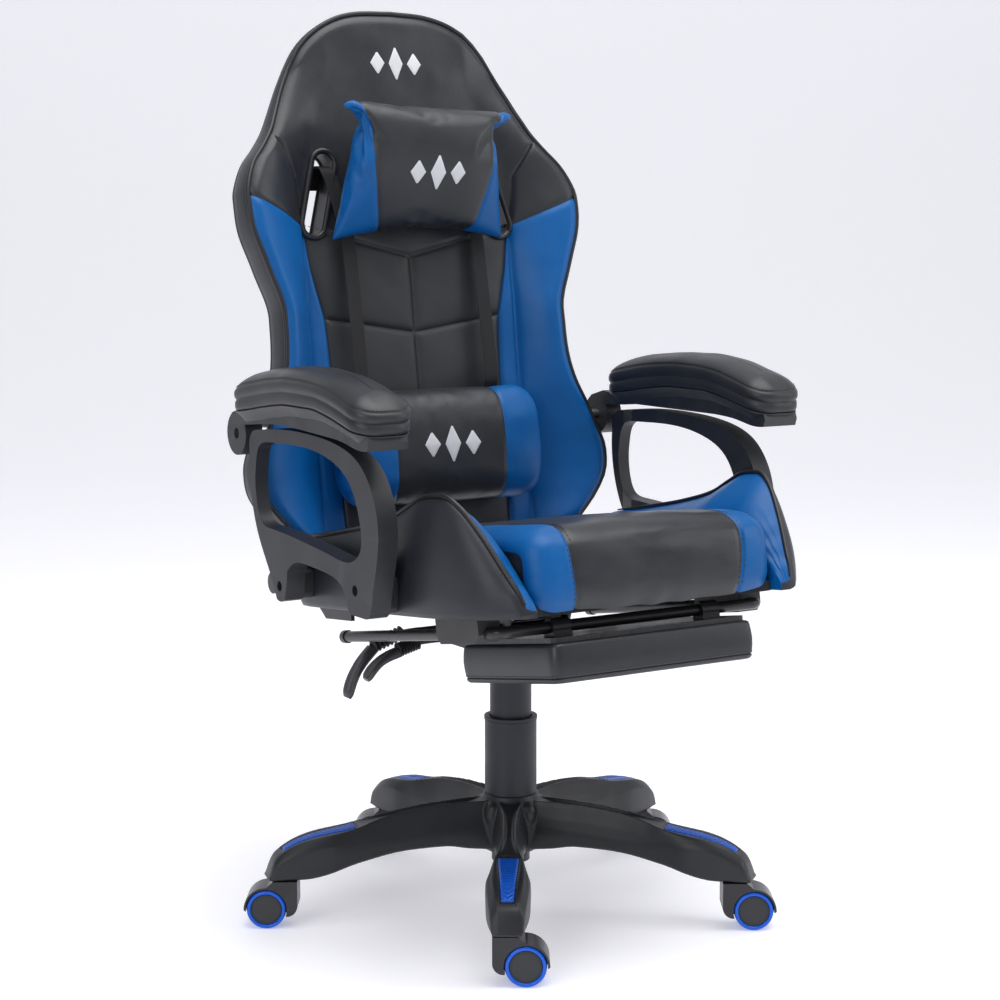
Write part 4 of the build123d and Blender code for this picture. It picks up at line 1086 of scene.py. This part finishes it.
def inflated(piece, pressure, frames, cap, stiffness=15, shrink=0.0):
    """Blows a sewn cover up from inside, as stuffing does, and keeps the shape. cap is in millimetres."""
    flat_shape = np.array([v.co for v in piece.data.vertices])
    cloth = piece.modifiers.new("stuffing", "CLOTH")
    settings = cloth.settings
    settings.quality = 6
    settings.use_pressure = True
    settings.uniform_pressure_force = pressure
    settings.tension_stiffness = settings.compression_stiffness = settings.shear_stiffness = stiffness
    settings.bending_stiffness = 0.4
    settings.shrink_min = shrink
    settings.effector_weights.gravity = 0
    cloth.collision_settings.use_collision = False
    scene = bpy.context.scene
    for frame_number in range(1, frames + 1):
        scene.frame_set(frame_number)
    stuffed = piece.evaluated_get(bpy.context.evaluated_depsgraph_get()).data
    swollen = np.array([v.co for v in stuffed.vertices])
    move = swollen - flat_shape
    length = np.linalg.norm(move, axis=1, keepdims=True)
    limit = cap * 0.001
    move *= np.where(length > limit, limit / np.maximum(length, 1e-9), 1)
    piece.modifiers.remove(cloth)
    piece.data.vertices.foreach_set("co", (flat_shape + move).ravel())
    piece.data.update()
    scene.frame_set(1)
    return piece


def pillow_cover(name, top_half, bottom_half, half_up, top_seam, bottom_seam, place):
    """Flat cover of a pillow: two layers sewn round the edge, in three panels."""
    panel_counts = (13, 34, 13)
    ups = np.linspace(-half_up, half_up, 40)
    layers = []
    for out in (1, -1):
        layer = []
        for up in ups:
            share = (up + half_up) / (2 * half_up)
            edge = bottom_half + (top_half - bottom_half) * share
            seam = bottom_seam + (top_seam - bottom_seam) * share
            marks = [-edge, -seam, seam, edge]
            row = []
            for k, count in enumerate(panel_counts):
                for f in np.linspace(0, 1, count + 1)[(0 if k == 0 else 1):]:
                    across = marks[k] + (marks[k + 1] - marks[k]) * f
                    rise = 11 * math.sqrt(max(0, 1 - (across / edge) ** 2))
                    rise *= math.sqrt(max(0, 1 - (up / half_up) ** 2))
                    row.append(place(across, up, out * rise))
            layer.append(row)
        layers.append(layer)
    width, height = len(layers[0][0]), len(ups)
    points = [p for layer in layers for row in layer for p in row]
    faces, finishes = [], []
    for index in (0, 1):
        for r in range(height - 1):
            for c in range(width - 1):
                a = index * width * height + r * width + c
                faces.append((a, a + 1, a + width + 1, a + width))
                finishes.append(0 if panel_counts[0] <= c < panel_counts[0] + panel_counts[1] else 1)
    return make_piece(name, points, faces, [black_leather, blue_leather], finishes, crease=180)


head_pillow = pillow_cover("head_pillow_cover", 137, 141, 101, 115, 71, on_pillow)
inflated(head_pillow, 5.0, 34, 60)


def fitted(piece, across, up, out, middle, lean):
    """Stretches a stuffed pillow to its measured size, keeping its folds."""
    coordinates = np.array([v.co for v in piece.data.vertices]) * 1000 - middle
    up_way = np.array((0, -math.sin(lean), math.cos(lean)))
    out_way = np.array((0, -math.cos(lean), -math.sin(lean)))
    local = np.stack([coordinates[:, 0], coordinates @ up_way, coordinates @ out_way], axis=1)
    for axis, size in enumerate((across, up, out)):
        low, high = local[:, axis].min(), local[:, axis].max()
        local[:, axis] = (local[:, axis] - (low + high) / 2) * (2 * size / (high - low))
    placed = middle + local[:, :1] * np.array((1, 0, 0)) + local[:, 1:2] * up_way + local[:, 2:] * out_way
    piece.data.vertices.foreach_set("co", (placed * 0.001).ravel())
    piece.data.update()


fitted(head_pillow, 133, 93, 41, PILLOW_MIDDLE, PILLOW_LEAN)


def seam_between(piece, first, second):
    """Lines of points where two finishes meet on a piece, for its seams."""
    shape = bmesh.new()
    shape.from_mesh(piece.data)
    edges = [e for e in shape.edges if len(e.link_faces) == 2
             and {f.material_index for f in e.link_faces} == {first, second}]
    left = set(edges)
    lines = []
    while left:
        edge = left.pop()
        line = [edge.verts[0], edge.verts[1]]
        for end in (1, 0):
            while True:
                tip = line[-1] if end else line[0]
                nexts = [e for e in tip.link_edges if e in left]
                if not nexts:
                    break
                left.discard(nexts[0])
                other = nexts[0].other_vert(tip)
                line.append(other) if end else line.insert(0, other)
        lines.append([tuple(c * 1000 for c in v.co) for v in line])
    shape.free()
    return lines


def pucker(piece, lines, depth, reach):
    """Draws the cover in along its seams."""
    from_seams = np.array([p for line in lines for p in line])
    coordinates = np.array([v.co for v in piece.data.vertices]) * 1000
    normals = np.array([v.normal for v in piece.data.vertices])
    gap = np.min(np.linalg.norm(coordinates[:, None] - from_seams[None], axis=2), axis=1)
    coordinates -= normals * (depth * np.exp(-((gap / reach) ** 2)))[:, None]
    piece.data.vertices.foreach_set("co", (coordinates * 0.001).ravel())
    piece.data.update()


def finer(piece, levels=1):
    """One subdivision of the cover."""
    rounder = piece.modifiers.new("rounder", "SUBSURF")
    rounder.levels = rounder.render_levels = levels
    applied(piece)
    piece.data.shade_smooth()


finer(head_pillow)
pucker(head_pillow, seam_between(head_pillow, 0, 1), 1.6, 3.0)


def motif(name, target, centre, way, across_way, up_way, size, count=3):
    """Three small embroidered diamonds laid on a cover. centre is outside the cover, way points at it."""
    surface = BVHTree.FromObject(target, bpy.context.evaluated_depsgraph_get())
    skins = []
    steps = 9
    for k in range(count):
        shift = (k - (count - 1) / 2) * size * 1.5
        tall = size * (1.35 if k == count // 2 else 0.9)
        points = []
        for i in range(steps):
            for j in range(steps):
                a, b = 2 * i / (steps - 1) - 1, 2 * j / (steps - 1) - 1
                px, pu = (a + b) / 2 * size * 0.62 + shift, (b - a) / 2 * tall
                start = Vector(centre) + Vector(across_way) * px + Vector(up_way) * pu
                hit, normal, _, _ = surface.ray_cast(start * 0.001, Vector(way))
                edge = min(1 - abs(a), 1 - abs(b))
                lift = 0.9 * min(1, edge * 5) - 0.25
                raised = (hit if hit else start * 0.001) * 1000 - Vector(way) * lift
                points.append(tuple(raised))
        faces = [(i * steps + j, i * steps + j + 1, (i + 1) * steps + j + 1, (i + 1) * steps + j)
                 for i in range(steps - 1) for j in range(steps - 1)]
        skins.append((points, faces))
    return make_piece(name, *join_skins(*skins), [embroidery])


embroidery = grained("pale embroidery", (0.62, 0.63, 0.65), 0.55, 0.7, 0.25, mottle=0.06)
pillow_way = (0, math.cos(PILLOW_LEAN), math.sin(PILLOW_LEAN))
pillow_up = (0, -math.sin(PILLOW_LEAN), math.cos(PILLOW_LEAN))
pillow_motif = motif(
    "head_pillow_motif", head_pillow, on_pillow(0, 6, 200), pillow_way, (1, 0, 0), pillow_up, 20
)
for piece in (head_pillow, pillow_motif):
    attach(piece, "backrest")
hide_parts("head_pillow")
back_way = (0, math.cos(BACK_LEAN), -math.sin(BACK_LEAN))
back_up = (0, math.sin(BACK_LEAN), math.cos(BACK_LEAN))
headrest_motif = motif("headrest_motif", back_cover, on_back(0, 452, 200), back_way, (1, 0, 0), back_up, 19)
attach(headrest_motif, "backrest")


# ---------------------------------------------------------------- lumbar pillow
# Firm bolster pillow with a black middle and blue ends that round off into its sides. It hangs on the
# webbing against the quilted panel.

LUMBAR_V, LUMBAR_OUT = -73, 38


def lumbar_ring(x):
    """Closed section of the bolster at x."""
    reach = min(0.9999, max(0, (abs(x) - 112) / 44))
    scale = (1 - reach**2.4) ** (1 / 2.4)
    half_up, half_out = 78 * (0.5 + 0.5 * scale) * scale**0.2, 36 * scale
    ring = []
    for k in range(64):
        angle = 2 * math.pi * k / 64
        c, s = math.cos(angle), math.sin(angle)
        up = half_up * math.copysign(abs(s) ** 0.72, s)
        out = half_out * math.copysign(abs(c) ** 0.78, c)
        seam = 2.0 * math.exp(-(((abs(x) - 84) / 2.4) ** 2))
        puff = unevenness(x, 3 * up + out, 42, 1.5) + unevenness(x, up, 15, 0.5) - seam
        length = max(1, math.hypot(up, out))
        ring.append(on_back(x, LUMBAR_V + up + puff * up / length, LUMBAR_OUT + out + puff * out / length))
    return ring


lumbar_places = [84 * f for f in spread(24)] + [84 + 72 * f for f in spread(24, 0.5)][1:]
rings = [lumbar_ring(-x) for x in reversed(lumbar_places[1:])] + [lumbar_ring(x) for x in lumbar_places]
lumbar_points, lumbar_faces = loft(rings)
finishes = []
for face in lumbar_faces:
    x = sum(abs(lumbar_points[i][0]) for i in face) / len(face)
    finishes.append(1 if x > 84 else 0)
lumbar = make_piece(
    "lumbar_pillow_cover", lumbar_points, lumbar_faces, [black_leather, blue_leather], finishes, 180
)
inflated(lumbar, 3.0, 12, 2.5)
lumbar_motif = motif(
    "lumbar_pillow_motif", lumbar, on_back(0, LUMBAR_V, 200), back_way, (1, 0, 0), back_up, 21
)
for piece in (lumbar, lumbar_motif):
    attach(piece, "backrest")
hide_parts("lumbar_pillow")


# ---------------------------------------------------------------- pillow straps
# Two flat black webbings join the pillows in front of the backrest, pass through the harness slots
# over the top and meet in one band across its rear.

webbing = grained("woven webbing", (0.012, 0.012, 0.013), 0.8, 1.6, 0.35, mottle=0.15)
WEB_WIDE, WEB_THICK = 20, 1.5


def ribbon(line, across_ways, wide, thick):
    """Skin of a flat band along a line; across_ways gives the way its width runs at each point."""
    line = [np.array(p, float) for p in line]
    rings = []
    for k, point in enumerate(line):
        tangent = line[min(k + 1, len(line) - 1)] - line[max(k - 1, 0)]
        tangent /= np.linalg.norm(tangent)
        across = np.array(across_ways[k], float)
        across -= tangent * float(across @ tangent)
        across /= np.linalg.norm(across)
        face = np.cross(tangent, across)
        ring = []
        for j in range(11):
            f = 2 * j / 10 - 1
            ring.append(point + across * wide / 2 * f + face * thick / 2 * (1 - 0.5 * abs(f) ** 6))
        for j in range(10, -1, -1):
            f = 2 * j / 10 - 1
            ring.append(point + across * wide / 2 * f - face * thick / 2 * (1 - 0.5 * abs(f) ** 6))
        rings.append(ring)
    return loft(rings)


STRAP_ROUTE = [
    (102, 215, 660), (102, 212, 684), (101, 229, 775), (101, 247.5, 862), (104, 259, 895), (112, 267, 935),
    (119, 271.5, 955), (120, 284, 960.5), (120, 300, 960.5), (119, 312, 958),
]
strap_skins = []
for side in (-1, 1):
    front_run = smooth_path(STRAP_ROUTE, 8)
    front_run = [(side * x, y, z) for x, y, z in front_run]
    strap_skins.append(ribbon(front_run, [(1, 0, 0)] * len(front_run), WEB_WIDE, WEB_THICK))
rear_run = [(x, 311.6 - 0.3 * math.cos(x / 40), 944) for x in np.linspace(-128, 128, 60)]
strap_skins.append(ribbon(rear_run, [(0, 0.145, 1)] * len(rear_run), 30, WEB_THICK))
straps = make_piece("pillow_webbing", *join_skins(*strap_skins), [webbing], crease=50)
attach(straps, "backrest")
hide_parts("pillow_straps")


# ---------------------------------------------------------------- armrests
# Padded leather tops with a sewn edge over a moulded lip, on plastic bases. A round knuckle at the rear
# of each base turns on a bolt in the backrest, so the pad stays usable as the back reclines.

arm_leather = grained("armrest leather", (0.020, 0.021, 0.024), 0.42, 1.3, 0.16, mottle=0.1, cells=0.55)
arm_split = curve_through(
    [-192, -148, -110, -70, -12, 52, 100, 152], [645.5, 656, 664, 669, 669, 663, 656, 650]
)
arm_top = curve_through(
    [-197, -178, -144, -108, -60, -31, 44, 107, 140, 155],
    [684, 690.5, 700, 708.5, 713.5, 714.5, 710.5, 702, 692, 685],
)
ARM_CENTRE, ARM_MIDDLE_Y, ARM_HALF_LONG, ARM_HALF_WIDE, ARM_CORNER = 285, -21, 175.5, 40, 30

# Section of the pad from its lower edge to its middle: inset from the outline in millimetres, and the
# share of the pad's height. It has a plain band, a sewn groove, a second band and an edge seam.
ARM_SECTION = [
    (14, 0), (4.5, 0.0), (2.2, 0.03), (1.2, 0.1), (0.9, 0.2), (1.3, 0.28), (2.6, 0.32), (2.8, 0.34),
    (1.7, 0.37), (0.4, 0.43), (0, 0.5), (0.2, 0.57), (0.9, 0.62), (2.2, 0.65), (2.9, 0.665), (3.0, 0.69),
    (4.2, 0.735), (6.5, 0.785), (10, 0.845), (14.5, 0.895), (20, 0.94), (26, 0.97), (32, 0.988), (37, 0.997),
    (39.2, 1.0),
]


# Insets and heights of the base's lip, from its lower edge up to the pad.
LIP_SECTION = [
    (15, -14), (13.6, -14), (12.2, -12), (9.5, -8.5), (6, -4.8), (3.4, -2.8), (2.0, -1.4), (2.2, -0.6),
    (4, -0.2), (14, -0.2),
]


def arm_outline(inset):
    """Rounded outline of an armrest, drawn in from its edge, as (across, y) places."""
    corner = max(0.4, ARM_CORNER - inset)
    half_wide, half_long = ARM_HALF_WIDE - inset, ARM_HALF_LONG - inset
    corner = min(corner, half_wide)
    line = []
    for turn, (sx, sy) in enumerate(((1, 1), (-1, 1), (-1, -1), (1, -1))):
        middle = np.array((sx * (half_wide - corner), ARM_MIDDLE_Y + sy * (half_long - corner)))
        for k in range(9):
            angle = math.pi / 2 * (turn + k / 8)
            line.append(middle + corner * np.array((math.cos(angle), math.sin(angle))))
        if turn in (0, 2):
            straight = [-sx * (half_wide - corner) * f for f in (-0.5, 0, 0.5)]
            line += [np.array((x, middle[1] + sy * corner)) for x in straight]
        else:
            run = np.linspace(middle[1], 2 * ARM_MIDDLE_Y - middle[1], 42)[1:-1]
            line += [np.array((middle[0] + sx * corner, y)) for y in run]
    return line


def arm_ring(inset, share, side, rise=0.0):
    """The outline at a share of the pad's height, following its curved underside."""
    ring = []
    for across, y in arm_outline(inset):
        low, high = float(arm_split(y)), float(arm_top(y))
        bump = unevenness(across * 2 + side * 400, y, 38, 1.2) * min(1, share * 1.2)
        ring.append((side * ARM_CENTRE + side * across, y, low + 0.4 + (high - low) * share + bump + rise))
    return ring[::side]


for side, name in ((-1, "left"), (1, "right")):
    pad_skin = loft([arm_ring(inset, share, side) for inset, share in ARM_SECTION])
    pad = make_piece(f"armrest_pad_{name}", *pad_skin, [arm_leather], crease=60)
    edge = arm_ring(3.3, 0.72, side, 0.25)
    sewing = make_piece(f"armrest_stitching_{name}", *stitches(edge + edge[:1], 3.2, 2.0, 0.4), [thread])
    for piece in (pad, sewing):
        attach(piece, f"arm_rest_{name}")
    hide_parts(f"arm_cushion_{name}")

    # The base flares out to a lip that carries the pad.
    lip = [arm_ring(inset, 0, side, rise) for inset, rise in LIP_SECTION]
    flare = make_piece(f"armrest_lip_{name}", *loft(lip), [frame_plastic], crease=50)
    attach(flare, f"arm_rest_{name}")
    soften(f"arm_rest_base_{name}", frame_plastic, 3.0, angle=30)


# ---------------------------------------------------------------- studio
# A plain pale floor that curves up into the backdrop, three large soft lights, and a camera at
# standing height to the front left of the chair.

CAMERA_PLACE = Vector((-1.4444, -2.2917, 0.877))
CAMERA_HEADING, CAMERA_DIP = math.radians(32.22), math.radians(7.24)

floor_material = bpy.data.materials.new("pale studio floor")
floor_material.use_nodes = True
floor_shader = floor_material.node_tree.nodes["Principled BSDF"]
floor_shader.inputs["Base Color"].default_value = (0.86, 0.86, 0.885, 1)
floor_shader.inputs["Roughness"].default_value = 0.55
floor_shader.inputs["Specular IOR Level"].default_value = 0.2
floor_shader.inputs["Emission Color"].default_value = (0.93, 0.925, 0.96, 1)
floor_shader.inputs["Emission Strength"].default_value = 0.32
sweep_rows = [(-9, 0)] + [
    (4.5 + 2.5 * math.sin(a), 2.5 - 2.5 * math.cos(a)) for a in np.linspace(0, math.pi / 2, 24)
]
sweep_rows.append((7, 9))
sweep_mesh = bpy.data.meshes.new("backdrop")
sweep_points = [(x, y, z) for y, z in sweep_rows for x in (-14, 14)]
sweep_faces = [(2 * k, 2 * k + 1, 2 * k + 3, 2 * k + 2) for k in range(len(sweep_rows) - 1)]
sweep_mesh.from_pydata(sweep_points, [], sweep_faces)
sweep_mesh.materials.append(floor_material)
sweep_mesh.shade_smooth()
backdrop = bpy.data.objects.new("backdrop", sweep_mesh)
backdrop.rotation_euler = (0, 0, -CAMERA_HEADING)
bpy.context.collection.objects.link(backdrop)

world = bpy.data.worlds.new("studio")
world.use_nodes = True
world.node_tree.nodes["Background"].inputs["Color"].default_value = (0.93, 0.94, 1.0, 1)
world.node_tree.nodes["Background"].inputs["Strength"].default_value = 0.42
bpy.context.scene.world = world


def soft_light(name, place, target, size, power, colour=(1, 1, 1)):
    """A large softbox aimed at a point."""
    light = bpy.data.lights.new(name, "AREA")
    light.shape = "RECTANGLE"
    light.size, light.size_y = size
    light.energy = power
    light.color = colour
    lamp = bpy.data.objects.new(name, light)
    lamp.location = place
    lamp.rotation_euler = (Vector(target) - Vector(place)).to_track_quat("-Z", "Y").to_euler()
    bpy.context.collection.objects.link(lamp)


soft_light("overhead softbox", (0.2, -0.6, 3.4), (0, 0, 0.5), (2.8, 2.8), 105)
soft_light("left softbox", (-3.0, -1.6, 1.9), (0, 0, 0.7), (1.5, 2.2), 30)
soft_light("right softbox", (2.9, -2.1, 1.8), (0, 0, 0.7), (1.4, 2.2), 26)

lens = bpy.data.cameras.new("camera")
lens.lens, lens.sensor_width, lens.shift_x = 76.57, 36, -0.0106
camera = bpy.data.objects.new("camera", lens)
camera.location = CAMERA_PLACE
camera.rotation_euler = (math.pi / 2 - CAMERA_DIP, 0, -CAMERA_HEADING)
bpy.context.collection.objects.link(camera)
bpy.context.scene.camera = camera
bpy.context.scene.view_settings.view_transform = "Standard"
